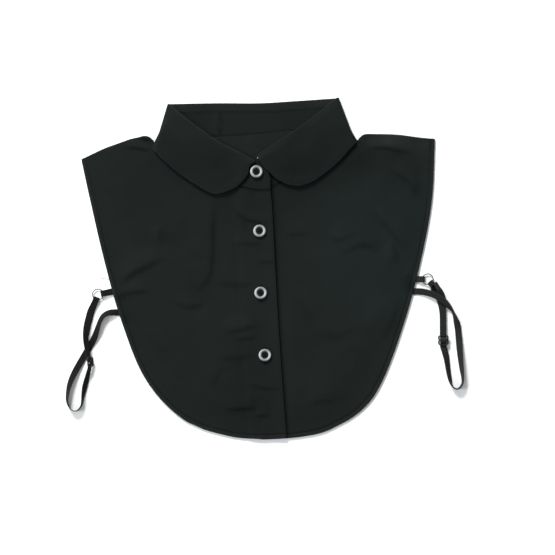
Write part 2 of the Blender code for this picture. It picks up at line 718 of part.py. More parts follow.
def button_mesh():
    """A turned button with a dished middle and four thread holes."""
    bm = bmesh.new()
    vertices = [bm.verts.new((p.radius * MM, 0, p.height * MM)) for p in BUTTON_PROFILE]
    edges = [bm.edges.new(pair) for pair in zip(vertices, vertices[1:])]
    bmesh.ops.spin(
        bm, geom=[*vertices, *edges], axis=(0, 0, 1), cent=(0, 0, 0), angle=2 * math.pi,
        steps=BUTTON_STEPS, use_merge=True,
    )
    bmesh.ops.remove_doubles(bm, verts=bm.verts, dist=1e-6)
    bmesh.ops.recalc_face_normals(bm, faces=bm.faces)
    mesh = bpy.data.meshes.new("button")
    bm.to_mesh(mesh)
    bm.free()
    return mesh


def drilled(mesh, collection):
    """The button's mesh with its thread holes cut through."""
    blank = bpy.data.objects.new("button_blank", mesh)
    collection.objects.link(blank)
    bm = bmesh.new()
    for turn in range(4):
        angle = math.pi / 4 + math.pi / 2 * turn
        place = Matrix.Translation(
            Vector((math.cos(angle), math.sin(angle), 0)) * BUTTON_HOLE_SPREAD * math.sqrt(2) * MM
        )
        bmesh.ops.create_cone(
            bm, cap_ends=True, segments=8, radius1=BUTTON_HOLE_RADIUS * MM, radius2=BUTTON_HOLE_RADIUS * MM,
            depth=10 * MM, matrix=place,
        )
    cutter_mesh = bpy.data.meshes.new("thread_holes")
    bm.to_mesh(cutter_mesh)
    bm.free()
    cutter = bpy.data.objects.new("thread_holes", cutter_mesh)
    cutter.hide_render = True
    cutter.display_type = "WIRE"
    collection.objects.link(cutter)
    cut = blank.modifiers.new("Holes", "BOOLEAN")
    cut.object = cutter
    bpy.context.view_layer.update()
    made = bpy.data.meshes.new_from_object(blank.evaluated_get(bpy.context.evaluated_depsgraph_get()))
    bpy.data.objects.remove(blank)
    return made


# Straps

def tape_frame(positions, leans):
    """The direction across the tape at each point: level, then leaning about the tape's own run."""
    tangent = np.gradient(positions, axis=0)
    tangent /= np.linalg.norm(tangent, axis=1)[:, None]
    across = np.stack([-tangent[:, 1], tangent[:, 0], np.zeros(len(tangent))], axis=1)
    across /= np.linalg.norm(across, axis=1)[:, None]
    up = np.cross(tangent, across)
    up *= np.sign(up[:, 2])[:, None]
    lean = np.radians(leans)[:, None]
    turned = np.cos(lean) * across + np.sin(lean) * up
    normal = np.cross(turned, tangent)
    normal *= np.sign(np.where(np.abs(normal[:, 2]) < 1e-9, 1, normal[:, 2]))[:, None]
    return turned, normal


def lay_tape(table, end=None):
    """Points and leans of a run of tape whose lower edge lies on the table or at its level."""
    points = []
    for row in table:
        lean = math.radians(row.lean)
        half_rise = (TAPE_WIDTH / 2 + LEAN_CLEAR) * math.sin(lean) + TAPE / 2 * math.cos(lean)
        points.append((row.x, row.y, TABLE_CLEAR + row.level + half_rise, row.lean))
    if end is not None:
        points.append(tuple(end))
    line = through(points, 2)
    return line[:, :3], line[:, 3]


class Slider:
    """A two-slot slider: its middle, its run towards the ring, and how far it leans on its side."""

    def __init__(self, place, heading, lean):
        turn, tip = math.radians(heading), math.radians(lean)
        self.run = np.array([math.cos(turn), math.sin(turn), 0.0])
        level = np.array([-math.sin(turn), math.cos(turn), 0.0])
        up = np.array([0.0, 0.0, 1.0])
        self.across = math.cos(tip) * level + math.sin(tip) * up
        self.normal = np.cross(self.run, self.across)
        self.normal *= np.sign(self.normal[2])
        low = SLIDER_WIDTH / 2 * math.sin(tip) + BAR / 2 * math.cos(tip)
        stack = 2 * TAPE + 3 * GAP + BAR / 2
        height = max(low, stack * math.cos(tip) + TAPE_WIDTH / 2 * math.sin(tip))
        self.centre = np.array([place.x, place.y, height])

    def at(self, run, normal):
        return self.centre + self.run * run + self.normal * normal

    def matrix(self):
        columns = np.array([self.across, self.run, np.cross(self.across, self.run)]).T
        turned = Matrix(columns.tolist()).to_4x4()
        turned.translation = Vector(self.centre) * MM
        return turned

    def threaded(self):
        """The tape's way through: under the outer bars and over the middle one."""
        under, over = -(BAR / 2 + GAP + TAPE / 2), BAR / 2 + GAP + TAPE / 2
        stations = [
            (-BAR_PITCH - 1.6, under - 0.2), (-BAR_PITCH, under), (-BAR_PITCH + 1.1, under * 0.72),
            (-BAR_PITCH + 1.95, 0.0), (-1.45, over * 0.8), (0.0, over + 0.1), (1.4, over * 0.75),
            (2.2, 0.0), (BAR_PITCH - 1.2, under * 0.75), (BAR_PITCH, under), (BAR_PITCH + 1.6, under - 0.1),
        ]
        return np.array([self.at(run, normal) for run, normal in stations])

    def sewn_end(self):
        """The end that comes back from the ring and hooks under the middle bar."""
        low = -(BAR / 2 + 2 * GAP + 1.5 * TAPE)
        hook = BAR / 2 + GAP + TAPE / 2
        stations = [
            (BAR_PITCH + 1.6, low - 0.1), (BAR_PITCH, low), (2.6, low + 0.5), (1.0, -hook - 0.12),
            (-0.2, -hook),
        ]
        return np.array([self.at(run, normal) for run, normal in stations])


def ring_wrap(ring, away, rise):
    """Points round the ring's wire, from the upper leg to the lower, for tape that leaves towards away."""
    centre = np.array([ring.x, ring.y, RING_Z])
    away = np.array([away[0], away[1], 0.0])
    away /= np.linalg.norm(away)
    pivot = centre + away * (RING_RADIUS - WRAP_REACH)
    up = np.array([0, 0, 1])
    points = [pivot + away * WRAP_LEGS[1] + up * rise, pivot + away * WRAP_LEGS[0] + up * WRAP_RADIUS]
    for angle in np.radians([90, 54, 18, -18, -54, -90]):
        points.append(pivot + (up * math.sin(angle) - away * math.cos(angle)) * WRAP_RADIUS)
    points += [pivot + away * leg - up * WRAP_RADIUS for leg in WRAP_LEGS]
    side = np.cross(away, [0, 0, 1])
    return np.array(points), np.tile(side, (len(points), 1))


def sheet_of(positions, across, widths):
    """A grid of three columns along the tape."""
    rows = []
    for place, side, width in zip(positions, across, widths):
        rows.append([place - side * width / 2, place, place + side * width / 2])
    return np.array(rows)


def continuous(across):
    """The same directions, each on the same side as the one before."""
    kept = [across[0] / np.linalg.norm(across[0])]
    for side in across[1:]:
        side = side / np.linalg.norm(side)
        kept.append(side if np.dot(side, kept[-1]) >= 0 else -side)
    return np.array(kept)


def strap_grid(run, double, slider, ring, outer=None):
    """One strap: from the back to the slider, through it, on to the ring and back to the slider.

    The layer that goes to the ring lies on the one that comes back, or else where outer says."""
    ends = [double[-1]] + ([outer[-1]] if outer else [])
    away = np.mean([[end.x - ring.x, end.y - ring.y] for end in ends], axis=0)
    threaded, sewn = slider.threaded(), slider.sewn_end()
    lean = math.degrees(math.asin(abs(slider.across[2])))
    first, first_lean = lay_tape(run, end=[*threaded[0], lean])
    across, _ = tape_frame(first, first_lean)
    lower, lower_lean = lay_tape(double)
    lower_across, normal = tape_frame(lower, lower_lean)
    if outer:
        upper, upper_lean = lay_tape(outer)
        upper_across, _ = tape_frame(upper, upper_lean)
    else:
        upper, upper_across = lower + normal * (TAPE + GAP), lower_across
    wrap, wrap_across = ring_wrap(ring, away, STRAP_WRAP_RISE)
    slider_across = np.tile(slider.across, (len(threaded), 1))
    sewn_across = np.tile(slider.across, (len(sewn), 1))
    places = np.vstack([first[:-1], threaded, upper, wrap, lower[::-1], sewn])
    sides = np.vstack([
        across[:-1], slider_across, upper_across, wrap_across, lower_across[::-1], sewn_across,
    ])
    before = len(first) - 1 + len(threaded) + len(upper)
    widths = np.full(len(places), TAPE_WIDTH)
    widths[before:before + len(wrap)] = TAPE_NECKED
    widths[before - 1] = widths[before + len(wrap)] = (TAPE_WIDTH + TAPE_NECKED) / 2
    return sheet_of(places, continuous(sides), widths)


def tab_grid(ring, end):
    """The short tab of tape that holds a ring at a front's edge."""
    away = np.array([end.x - ring.x, end.y - ring.y])
    wrap, across = ring_wrap(ring, away, TAB_WRAP_RISE)
    upper_end = np.array([[end.x, end.y, FRONT_MID + 0.1]])
    lower_end = np.array([[end.x, end.y, TAPE / 2]])
    places = np.vstack([upper_end, wrap, lower_end])
    sides = np.vstack([across[:1], across, across[:1]])
    widths = np.full(len(places), TAPE_NECKED)
    widths[[0, -1]] = TAPE_WIDTH
    return sheet_of(places, continuous(sides), widths)


def slider_curve(name, slider, material, parent, collection):
    """A slider cut from flat sheet: a pinched outline with two slots."""
    curve = bpy.data.curves.new(name, "CURVE")
    curve.dimensions = "2D"
    curve.fill_mode = "BOTH"
    half_length = BAR_PITCH + BAR / 2
    outline = []
    for step in range(32):
        angle = 2 * math.pi * step / 32
        bulge = abs(math.cos(angle)) ** 0.45 * math.copysign(1, math.cos(angle))
        rise = abs(math.sin(angle)) ** 0.55 * math.copysign(1, math.sin(angle))
        pinch = 1 - 0.13 * math.exp(-((rise * half_length / 1.3) ** 2))
        outline.append((SLIDER_WIDTH / 2 * bulge * pinch, half_length * rise))
    slots = []
    for middle in (-BAR_PITCH / 2, BAR_PITCH / 2):
        half = (BAR_PITCH - BAR) / 2
        slot = []
        for corner_x, corner_y, start in ((1, 1, 0), (-1, 1, 90), (-1, -1, 180), (1, -1, 270)):
            for turn in (0, 45, 90):
                angle = math.radians(start + turn)
                slot.append((
                    corner_x * (SLIDER_SLOT / 2 - 0.5) + 0.5 * math.cos(angle),
                    middle + corner_y * (half - 0.5) + 0.5 * math.sin(angle),
                ))
        slots.append(slot)
    for line in (outline, *slots):
        spline = curve.splines.new("POLY")
        spline.points.add(len(line) - 1)
        for point, (x, y) in zip(spline.points, line):
            point.co = (x * MM, y * MM, 0, 1)
        spline.use_cyclic_u = True
    curve.extrude = BAR / 2 * MM
    thing = new_object(name, curve, material, parent, collection)
    thing.matrix_local = slider.matrix()
    return thing


def ring_object(name, place, material, parent, collection):
    """A round ring bent from wire."""
    curve = bpy.data.curves.new(name, "CURVE")
    curve.dimensions = "3D"
    curve.bevel_depth = RING_WIRE / 2 * MM
    curve.bevel_resolution = 2
    spline = curve.splines.new("POLY")
    spline.points.add(27)
    for step, point in enumerate(spline.points):
        angle = 2 * math.pi * step / 28
        point.co = (RING_RADIUS * math.cos(angle) * MM, RING_RADIUS * math.sin(angle) * MM, 0, 1)
    spline.use_cyclic_u = True
    thing = new_object(name, curve, material, parent, collection)
    thing.location = Vector((place.x, place.y, RING_Z)) * MM
    return thing


def main():
    clear_scene()
    parts = bpy.data.collections.new("detachable_collar")
    cutters = bpy.data.collections.new("cutters")
    for collection in (parts, cutters):
        bpy.context.scene.collection.children.link(collection)
    materials = {name: make_material(name) for name in COLOURS}
    root = bpy.data.objects.new("collar", None)
    parts.objects.link(root)
    root.location = (PLACE.x * MM, PLACE.y * MM, 0)

    walls = [
        ("back_panel", back_grid(), "cloth"),
        ("front_buttonhole_side", front_grid(True), "cloth"),
        ("front_button_side", front_grid(False), "cloth"),
        ("collar_band", band_grid(), "cloth"),
        ("collar_fall", fall_grid(), "cloth"),
    ]
    left_slider = Slider(SLIDER_LEFT, SLIDER_LEFT_HEADING, SLIDER_LEFT_LEAN)
    right_slider = Slider(SLIDER_RIGHT, SLIDER_RIGHT_HEADING, SLIDER_RIGHT_LEAN)
    walls += [
        ("strap_left", strap_grid(RUN_LEFT, DOUBLE_LEFT, left_slider, RING_LEFT), "tape"),
        ("strap_right", strap_grid(RUN_RIGHT, DOUBLE_RIGHT, right_slider, RING_RIGHT, OUTER_RIGHT), "tape"),
        ("tab_left", tab_grid(RING_LEFT, TAB_LEFT_END), "tape"),
        ("tab_right", tab_grid(RING_RIGHT, TAB_RIGHT_END), "tape"),
    ]
    for name, grid, material in walls:
        cloth_wall(name, grid, name not in TWISTED_WALLS, materials[material], root, parts)
    slider_curve("slider_left", left_slider, materials["slider"], root, parts)
    slider_curve("slider_right", right_slider, materials["slider"], root, parts)
    ring_object("ring_left", RING_LEFT, materials["ring"], root, parts)
    ring_object("ring_right", RING_RIGHT, materials["ring"], root, parts)

    mesh = drilled(button_mesh(), cutters)
    mesh.materials.clear()
    mesh.materials.append(materials["button"])
    for number, place in enumerate(BUTTONS, start=1):
        button = bpy.data.objects.new(f"button_{number}", mesh)
        button.location = Vector((place.x, place.y, BUTTON_BASE_Z + place.lift)) * MM
        button.rotation_euler.x = math.radians(place.lean)
        button.parent = root
        parts.objects.link(button)


main()
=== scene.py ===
"""The cloth, sewing and finishes of a detachable shirt collar that lies buttoned on its back.

Sizes are in millimetres until a mesh is made. X runs to the right of the picture, Y from the hem to the
neck, Z up from the table. The layout is the one that the solids have, with finer cells and folds.
"""

import math
from collections import namedtuple

import bmesh
import bpy
import numpy as np
from mathutils import Matrix, Vector, noise


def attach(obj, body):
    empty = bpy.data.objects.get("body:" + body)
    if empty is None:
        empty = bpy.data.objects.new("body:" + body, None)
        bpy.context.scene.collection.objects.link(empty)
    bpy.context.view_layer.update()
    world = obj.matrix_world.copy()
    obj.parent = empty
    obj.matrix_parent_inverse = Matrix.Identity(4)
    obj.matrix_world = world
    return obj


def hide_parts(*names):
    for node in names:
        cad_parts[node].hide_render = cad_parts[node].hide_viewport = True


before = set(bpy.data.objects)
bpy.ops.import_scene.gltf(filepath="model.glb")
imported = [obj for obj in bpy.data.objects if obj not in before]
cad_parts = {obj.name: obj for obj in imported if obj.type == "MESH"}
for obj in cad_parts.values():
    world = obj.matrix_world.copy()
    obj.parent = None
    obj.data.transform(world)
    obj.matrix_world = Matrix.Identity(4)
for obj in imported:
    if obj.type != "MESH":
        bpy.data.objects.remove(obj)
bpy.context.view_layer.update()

MM = 0.001

# Layers: the middle heights of the solids, and how thick the cloth that shows is
CLOTH = 1.0
GAP = 0.3
LAYER = CLOTH + GAP
BACK_MID = CLOTH / 2
FRONT_MID = BACK_MID + LAYER
SHELL = 0.7
COLLAR_SHELL = 0.85
SHOULDER_RIM = CLOTH / 2 + 0.65
BACK_INSET = 1.2
STAND_BACK_MID = BACK_MID + LAYER
STAND_SIDE_MID = 4.5
FALL_SIDE_MID = STAND_SIDE_MID + LAYER
SIDE_CENTRE_Z = (FALL_SIDE_MID + BACK_MID) / 2
ROLL_SEAM_BACK = 8.0
ROLL_SEAM_FRONT = 3.0
NECK_FALL_OFF = 44.0
BACK_RISE = (90.0, 116.5)
BACK_RISE_LEFT = (-136.0, -115.0)
BACK_RISE_RIGHT = (116.0, 95.0)
SIDE_RISE_LEFT = (-20.0, -94.0)
SIDE_RISE_RIGHT = (11.0, 70.0)
AIR = 1.1
AIR_EDGE = (8.0, 34.0)
AIR_NECK = (26.0, 62.0)
AIR_LAP = (1.0, 16.0)
LAP_WIDTH = 28.0
LAP_RISE = (-LAP_WIDTH - 13, -LAP_WIDTH - 2)
LAP_LIFT = 0.7
LAP_LIFT_REACH = 14.0
BAND_END_LIFT = 0.9
BAND_END_REACH = 9.0
LEAF_LIFT_REACH = 26.0

# Folds, swells and gathers, and the painted shade on the folds' steep sides
FOLD_DEPTH = 1.5
FOLD_LIT_REACH = 2.8
FOLD_DARK_REACH = (0.35, 1.0)
# Painted shade on each fold's steep side, for each unit of its height
FOLD_SHADE = 0.28
FOLD_START = (-0.02, 0.35)
FOLD_END = (1.02, 0.6)
LOWEST_RELIEF = -0.5
BACK_LOWEST = 0.14
OPEN_EDGE = (3, 17)
OPEN_NECK = (6, 26)
UNDER_LAP = (0.5, 6)
BROAD_SWELL = 46.0
SMALL_SWELL = 19.0
GATHER = 0.3
GATHER_SIZE = 8.0
GATHER_REACH = 13.0

# Cells of the grids
SHOULDER_CELLS = 40
FRONT_ROWS = 210
BACK_ROWS = 110
FRONT_COLUMNS = 64
BAND_END_CELLS = 8
NECK_CELLS = FRONT_COLUMNS + BAND_END_CELLS - 1
BACK_COLUMNS = 56
FOLD_CELLS = 14
FALL_ROWS = 34
ROLL_CELLS = 10
STAND_ROWS = 16
ROLL_ROW = 4 + ROLL_CELLS / 2
SHOULDER_ROLL_CELLS = 6
EDGE_CROWDING = 0.72

# Hems
HEM = 5.0
HEM_STEP = 0.16
HEM_STITCH_IN = 4.3
HEM_DRAWN = 0.34
HEM_PULL = 0.16
HEM_TURNED = 0.3
EDGE_ROUND = 0.8

# Straps
TAPE_WIDTH = 6.5
TAPE_NECKED = 6.1
TAPE = 1.0
TAPE_SHELL = 0.9
TAPE_COLUMNS = 8
TABLE_CLEAR = 0.12
LEAN_CLEAR = 0.32
RING_RADIUS = 5.4
RING_WIRE = 1.0
RING_Z = TAPE + GAP + RING_WIRE / 2
WRAP_RADIUS = RING_WIRE / 2 + GAP + TAPE / 2
WRAP_REACH = 0.8
WRAP_LEGS = (1.2, 3.4)
STRAP_WRAP_RISE = 0.55
TAB_WRAP_RISE = 0.7
TUCKED = 4.0
LAYER_SLIP = 0.8
BAR = 1.2
BAR_PITCH = 4.6
SLIDER_WIDTH = 11.0
SLIDER_SLOT = 7.3
SLIDER_POINTS = 64
SLIDER_PINCH = 0.13
SLIDER_PINCH_REACH = 1.3
SLIDER_ROUND = 0.28
SLOT_CORNER = 0.5

# Wear and painted shade: pale along rubbed edges and a lighter strip on the fall behind the neck; painted shade
# along the hem's stitch line, the stand's crease, and beside the band's end and the lap, where shadow falls
RUB_REACH = 1.1
RUB_SIZE = 5.0
HEM_RUB = 0.16
# Painted shade in the hem's stitch line
HEM_GROOVE_SHADE = 0.55
LAP_RUB = 0.35
# Painted shadow that the lap casts beside its edge, narrow and wide
LAP_SHADE = 0.6
LAP_WIDE_SHADE = 0.22
# Painted shadow beside the band's end, and painted shade along the stand's crease
BAND_END_SHADE = 0.8
CREASE_SHADE = 0.4
SEAM_STRIP = 0.16

# Sewing
STITCH_SINK = 0.35
SATIN_PITCH = 0.42
BUTTONHOLE_TACK = 1.2
PALE_THREAD_RADIUS = 0.22

BUTTON_BASE_Z = STAND_BACK_MID + LAYER + CLOTH / 2 + GAP

Point = namedtuple("Point", "x y")
Place = namedtuple("Place", "x y z")
Fold = namedtuple("Fold", "line width height")
Button = namedtuple("Button", "x y lift lean turn")
Profile = namedtuple("Profile", "radius height")
Tape = namedtuple("Tape", "x y level lean")
Patch = namedtuple("Patch", "x y reach shade")


def table(kind, *rows):
    """Rows of numbers, each with the names of its columns."""
    return [kind(*row) for row in rows]


def path(*places):
    """The points of a line, each given by its x and y."""
    return table(Point, *places)


PLACE = Point(0.298, 0.442)
LIT_FROM = Point(-0.38, 0.92)

# The picture: its middle, its width and how far the cloth is from the camera, all in metres
PICTURE_MIDDLE = Point(0.0128, -0.00908)
PICTURE_WIDTH = 0.555
PICTURE_DISTANCE = 2.4965
CAMERA_HEIGHT = 2.5
CAMERA_SENSOR = 36.0

LEFT_EDGE = path(
    (-184, 109), (-175, 68), (-161, 8), (-144, -52),
    (-119, -112), (-81, -152), (-37, -168), (0, -171.5),
)
RIGHT_EDGE = path(
    (170, 129.5), (167, 68), (156, 8), (140, -52), (118, -112),
    (97, -142), (64, -162), (35, -169), (0, -171.5), (-20, -170.9),
)
LEFT_SHOULDER = path(
    (-184, 109), (-165, 118), (-149, 124), (-133, 129.5),
    (-119, 132), (-110.6, 127.6),
)
RIGHT_SHOULDER = path(
    (170, 129.5), (147, 131.5), (131, 133), (112, 134.3),
    (99.5, 134.4), (92.8, 129.6),
)
LEFT_CORNER = Point(-119, -112)
RIGHT_CORNER = Point(118, -112)
LAP_EDGE = path((5.5, 79), (7.4, 54), (10, 3), (15, -82), (21.5, -170))

ROLL_LEFT = path(
    (-96.3, 163), (-76, 146.3), (-49, 126.9), (-30, 117), (-10.5, 106.3),
)
ROLL_RIGHT = path(
    (71.5, 168.8), (44.5, 147.4), (22, 131.4), (0, 117.2), (-7, 112),
)
ROLL_BACK = path(
    (-96.3, 163), (-50, 163.9), (-6, 163.9), (27, 165.8), (71.5, 168.8),
)
SIDE_LEFT = Point(-0.287, -0.958)
SIDE_RIGHT = Point(0.402, -0.916)
SIDE_DEPTH_LEFT = 36.0
SIDE_DEPTH_RIGHT = 42.0
FALL_EDGE_LEFT = path(
    (-25.5, 83.4), (-32.5, 78.9), (-44.3, 74.8), (-56.3, 76), (-81.5, 91.5),
    (-95, 102), (-107, 113.2), (-112, 119.8), (-110.6, 125.2),
)
FALL_FRONT_LEFT = path((-15.6, 101.5), (-17.6, 93), (-25.5, 83.4))
FALL_EDGE_RIGHT = path(
    (11, 91), (20, 86), (33, 83.4), (47.5, 87.4), (63, 98),
    (74.3, 107.5), (84.2, 118.4), (92.2, 126.6),
)
FALL_FRONT_RIGHT = path((-4.4, 106.4), (0.4, 99.6), (11, 89.6))
FALL_EDGE_BACK = path(
    (-104, 120), (-90, 117.5), (-60, 117.5), (-10, 119), (40, 120.5),
    (72, 120), (84, 123.5),
)
NECK_LEFT = path(
    (-90, 119.5), (-70, 108), (-47, 94.8), (-25, 82.6), (-9, 79), (5.5, 79),
)
NECK_RIGHT = path(
    (71, 119.5), (53.5, 109), (35, 98.5), (18, 88), (0, 80), (-22, 78.5),
)
NECK_BACK = path(
    (-90, 131), (-43, 131.8), (-8, 134), (29, 137.6), (60, 136), (74, 132),
)
BAND_TOP_LEFT = path((-4, 103.4), (2, 98))
BAND_END_LEFT = path((2, 98), (5.0, 91), (5.5, 85))
BAND_TOP_RIGHT = path((-11.5, 107), (-18.5, 100))
BAND_END_RIGHT = path((-18.5, 100), (-21.5, 92), (-22, 85))

# Folds and creases, each along a line: half width and height. They are steep on the side away from the window
FOLDS_LEFT = [
    Fold(path((-150, -19), (-138, -8), (-122, 1.5), (-97, 13)), 4.5, 1.0),
    Fold(path((-151, -28), (-132, -23), (-112, -22)), 3.2, 0.9),
    Fold(path((-53, 74), (-54.5, 41), (-56, 0), (-63, -16), (-80, -33)), 6, 0.9),
    Fold(path((-92, -38.5), (-78, -38), (-58, -35)), 3.2, 0.7),
    Fold(path((-36, 70), (-22, 52), (-8, 47.5), (9, 46)), 3, 0.75),
    Fold(path((-38, 26), (2, 25)), 3, 0.45),
    Fold(path((-9, 7.5), (12, 7)), 2.6, 0.5),
    Fold(path((-54, -12), (-30, -15.5), (-8, -15)), 3, 0.5),
    Fold(path((-50, -87), (-30, -89), (-8, -84)), 3.4, 0.5),
    Fold(path((-18, -114), (0, -119), (16, -120)), 3, 0.5),
    Fold(path((-107, 42), (-105.5, 22)), 3, 0.7),
    Fold(path((-43, -61.5), (-28, -61), (-4, -55.5)), 3, 0.8),
    Fold(path((-34, -71), (-4, -67.5)), 2.6, 0.6),
    Fold(path((-44, -140), (-14, -138.5), (-3, -136)), 4, 0.8),
    Fold(path((-10, -146.5), (5, -146.5)), 2.6, 0.65),
    Fold(path((-142, 123.5), (-126, 120.5), (-111, 117.5)), 2.4, 0.9),
    Fold(path((-128, 132), (-118, 129.5), (-111, 127)), 2.4, 0.9),
    Fold(path((-112, 86), (-86, 91)), 4, 0.5),
    Fold(path((-168, 92), (-150, 74), (-140, 48)), 8, 0.4),
    Fold(path((-122, -60), (-96, -84), (-84, -112)), 9, 0.45),
    Fold(path((-84, 60), (-88, 20)), 10, 0.35),
    Fold(path((-40, -90), (-58, -120)), 8, 0.35),
]
FOLDS_RIGHT = [
    Fold(path((124, 102), (143, 88), (158, 68)), 4, 0.9),
    Fold(path((108, 62), (118, 48), (129, 35), (143, 14)), 4, 1.0),
    Fold(path((60, 32), (88, 27), (118, 19)), 4, 0.8),
    Fold(path((124, 28), (129, 14), (132, 4)), 3, 0.6),
    Fold(path((138, -7), (153, -8)), 3, 0.8),
    Fold(path((18, 35), (46, 35)), 3, 0.5),
    Fold(path((100, 121.5), (124, 121), (150, 115)), 5, 0.9),
    Fold(path((44, -60), (72, -66), (104, -88)), 8, 0.45),
    Fold(path((30, -20), (52, -56)), 9, 0.35),
    Fold(path((52, 78), (66, 48)), 8, 0.35),
    Fold(path((134, -26), (126, -52), (112, -76)), 6, 0.4),
    Fold(path((40, -132), (76, -130)), 6, 0.45),
    Fold(path((150, 112), (146, 62)), 8, 0.3),
]
FOLDS_BACK = [
    Fold(path((-46, 132), (-46.5, 118)), 1.8, 0.45),
    Fold(path((-20, 128), (8, 119)), 5, 0.4),
]
# Painted light and shade: where the cloth is painted darker, or lighter, over a soft round patch, for the light
# and shade on its swells, folds and collar
LIGHT_AND_SHADE_PATCHES = table(
    Patch,
    (-88, 98, 42, -0.2), (-10, 72, 40, -0.2), (100, 108, 32, -0.22), (30, 82, 24, -0.2),
    (-15, -134, 32, -0.22), (125, 25, 75, 0.14), (-92, 146, 20, 0.22), (-52, 104, 24, -0.15),
    (48, 116, 40, -0.32), (-135, 78, 38, -0.12), (66, 158, 16, 0.14), (-20, 138, 24, -0.08),
    (-70, 152, 15, -0.28), (106, 126, 8, 0.45), (122, 127, 9, 0.5), (140, 125, 9, 0.4),
    (158, 123, 8, 0.3), (132, 112, 12, -0.3), (89, 112, 8, -0.3), (-119, 128.5, 6, -0.4),
    (-116, 121.5, 5, 0.2), (145, -17, 6, -0.7), (-144, -30, 5, -0.5), (-139, -50, 7, -0.35),
    (-22, -88, 15, -0.2), (-25, 44, 13, -0.18), (110, -30, 50, 0.08), (-57, 42, 11, -0.14),
    (-58, 10, 10, -0.18), (-68, -18, 8, -0.14), (-12, -141, 16, -0.16), (90, -100, 40, 0.04),
    (55, 142, 14, 0.08),
)
STAND_CREASE = Fold(path((-46, 162), (-46.4, 126)), 1.8, 0.7)

BUTTONS = table(
    Button,
    (-8.6, 96.4, 0.35, 2.6, 20), (-5.5, 37.1, 0, 0, -12), (-4.4, -24.9, 0, 0, 31),
    (-0.1, -87.1, 0, 0, 8),
)
BUTTON_RIM = table(
    Profile,
    (3.55, 1.28), (3.72, 1.55), (3.95, 1.95), (4.35, 2.26), (4.9, 2.4),
    (5.45, 2.33), (5.9, 2.05), (6.15, 1.62), (6.2, 1.2), (6.05, 0.72),
    (5.6, 0.3), (5.0, 0.05), (3.5, 0.0),
)
BUTTON_CENTRE = table(
    Profile,
    (0.0, 1.22), (1.2, 1.18), (2.4, 1.16), (3.1, 1.22), (3.5, 1.38),
    (3.7, 1.4), (3.75, 0.1), (3.4, 0.02), (0.0, 0.02),
)
BUTTON_HOLE_RADIUS = 0.62
BUTTON_HOLE_SPREAD = 1.25
THREAD_RADIUS = 0.21
BUTTONHOLE_LENGTH = 16.5
BUTTONHOLE_WIDTH = 2.3

RING_LEFT = Point(-167.2, -26.5)
RING_RIGHT = Point(162.8, -11.3)
SLIDER_LEFT = Point(-174.6, -93.8)
SLIDER_RIGHT = Point(178.4, -72.2)
SLIDER_LEFT_HEADING = 95.0
SLIDER_RIGHT_HEADING = 91.0
SLIDER_LEFT_LEAN = 62.0
SLIDER_RIGHT_LEAN = 0.0
TAB_LEFT_END = Point(-154.6, -24.0)
TAB_RIGHT_END = Point(153.6, -11.2)
RUN_LEFT = table(
    Tape,
    (-147.2, -44.6, 0, 0), (-152.8, -44.5, 0, 24), (-157.8, -45.3, 0, 42),
    (-162.4, -48.5, 0, 50), (-165.4, -53.8, 0, 52), (-167.8, -61.0, 0, 42),
    (-170.4, -69.0, 0, 18), (-174.4, -76.8, 0, 2), (-181.2, -88.4, 0, 0),
    (-188.4, -100.8, 0, 14), (-194.2, -112.8, 0, 36), (-197.2, -124.0, 0, 58),
    (-197.8, -134.0, 0, 74), (-194.0, -141.4, 0, 84), (-188.2, -142.8, 0, 86),
    (-183.6, -137.4, 0, 84), (-182.0, -128.6, 0, 68), (-180.2, -118.6, 0, 44),
    (-177.6, -108.6, 0, 52),
)
RUN_RIGHT = table(
    Tape,
    (148.9, -23.4, 0, 0), (157.4, -23.8, 0.5, 14), (166.4, -26.0, 2.2, 22),
    (173.6, -29.4, 3.3, 24), (180.0, -34.2, 3.1, 34), (185.0, -39.8, 2.0, 58),
    (188.3, -44.8, 1.0, 74), (190.9, -51.2, 0.2, 48), (192.9, -59.0, 0, 6),
    (193.9, -68.6, 0, 8), (194.7, -79.6, 0, 24), (195.6, -91.0, 0, 46),
    (196.7, -101.4, 0, 60), (197.7, -109.6, 0, 74), (197.0, -116.6, 0, 84),
    (192.4, -121.0, 0, 86), (187.4, -118.2, 0, 82), (184.9, -111.2, 0, 58),
    (183.0, -100.6, 0, 46), (181.4, -89.4, 0, 30),
)
DOUBLE_LEFT = table(
    Tape,
    (-177.8, -80.6, 1.6, 45), (-179.2, -69.5, 0.3, 36), (-177.4, -57.0, 0, 8),
    (-173.6, -43.0, 0, 0),
)
DOUBLE_RIGHT = table(
    Tape,
    (178.2, -56.0, 0, 0), (177.8, -44.0, 0, 0), (174.8, -31.4, 0, 0),
    (169.0, -22.8, 0, 0),
)
OUTER_RIGHT = table(
    Tape,
    (178.2, -56.0, 1.3, 0), (178.0, -44.0, 1.3, 0), (178.0, -34.6, 1.3, 2),
    (176.7, -27.4, 1.35, 10), (173.8, -20.8, 1.3, 50), (169.8, -15.0, 0.6, 50),
)
LOOSE_THREAD = table(
    Place,
    (-151.5, -11.4, 0.4), (-156, -11.2, 0.3), (-161, -10.4, 0.25), (-165.4, -9.8, 0.3),
)
THREAD_KNOT = table(
    Place,
    (-6.7, 110.2, 5.7), (-7.4, 110.5, 5.9), (-7.8, 110.1, 5.7), (-7.4, 109.7, 5.9), (-7.0, 109.9, 6.0),
)


# Camera, light and table

def make_camera():
    """The camera straight above, at the picture's middle, as wide as the picture."""
    camera = bpy.data.objects.new("camera", bpy.data.cameras.new("camera"))
    camera.location = (*PICTURE_MIDDLE, CAMERA_HEIGHT)
    camera.data.sensor_width = CAMERA_SENSOR
    camera.data.lens = CAMERA_SENSOR * PICTURE_DISTANCE / PICTURE_WIDTH
    camera.data.clip_end = 50.0
    bpy.context.scene.collection.objects.link(camera)
    bpy.context.scene.camera = camera


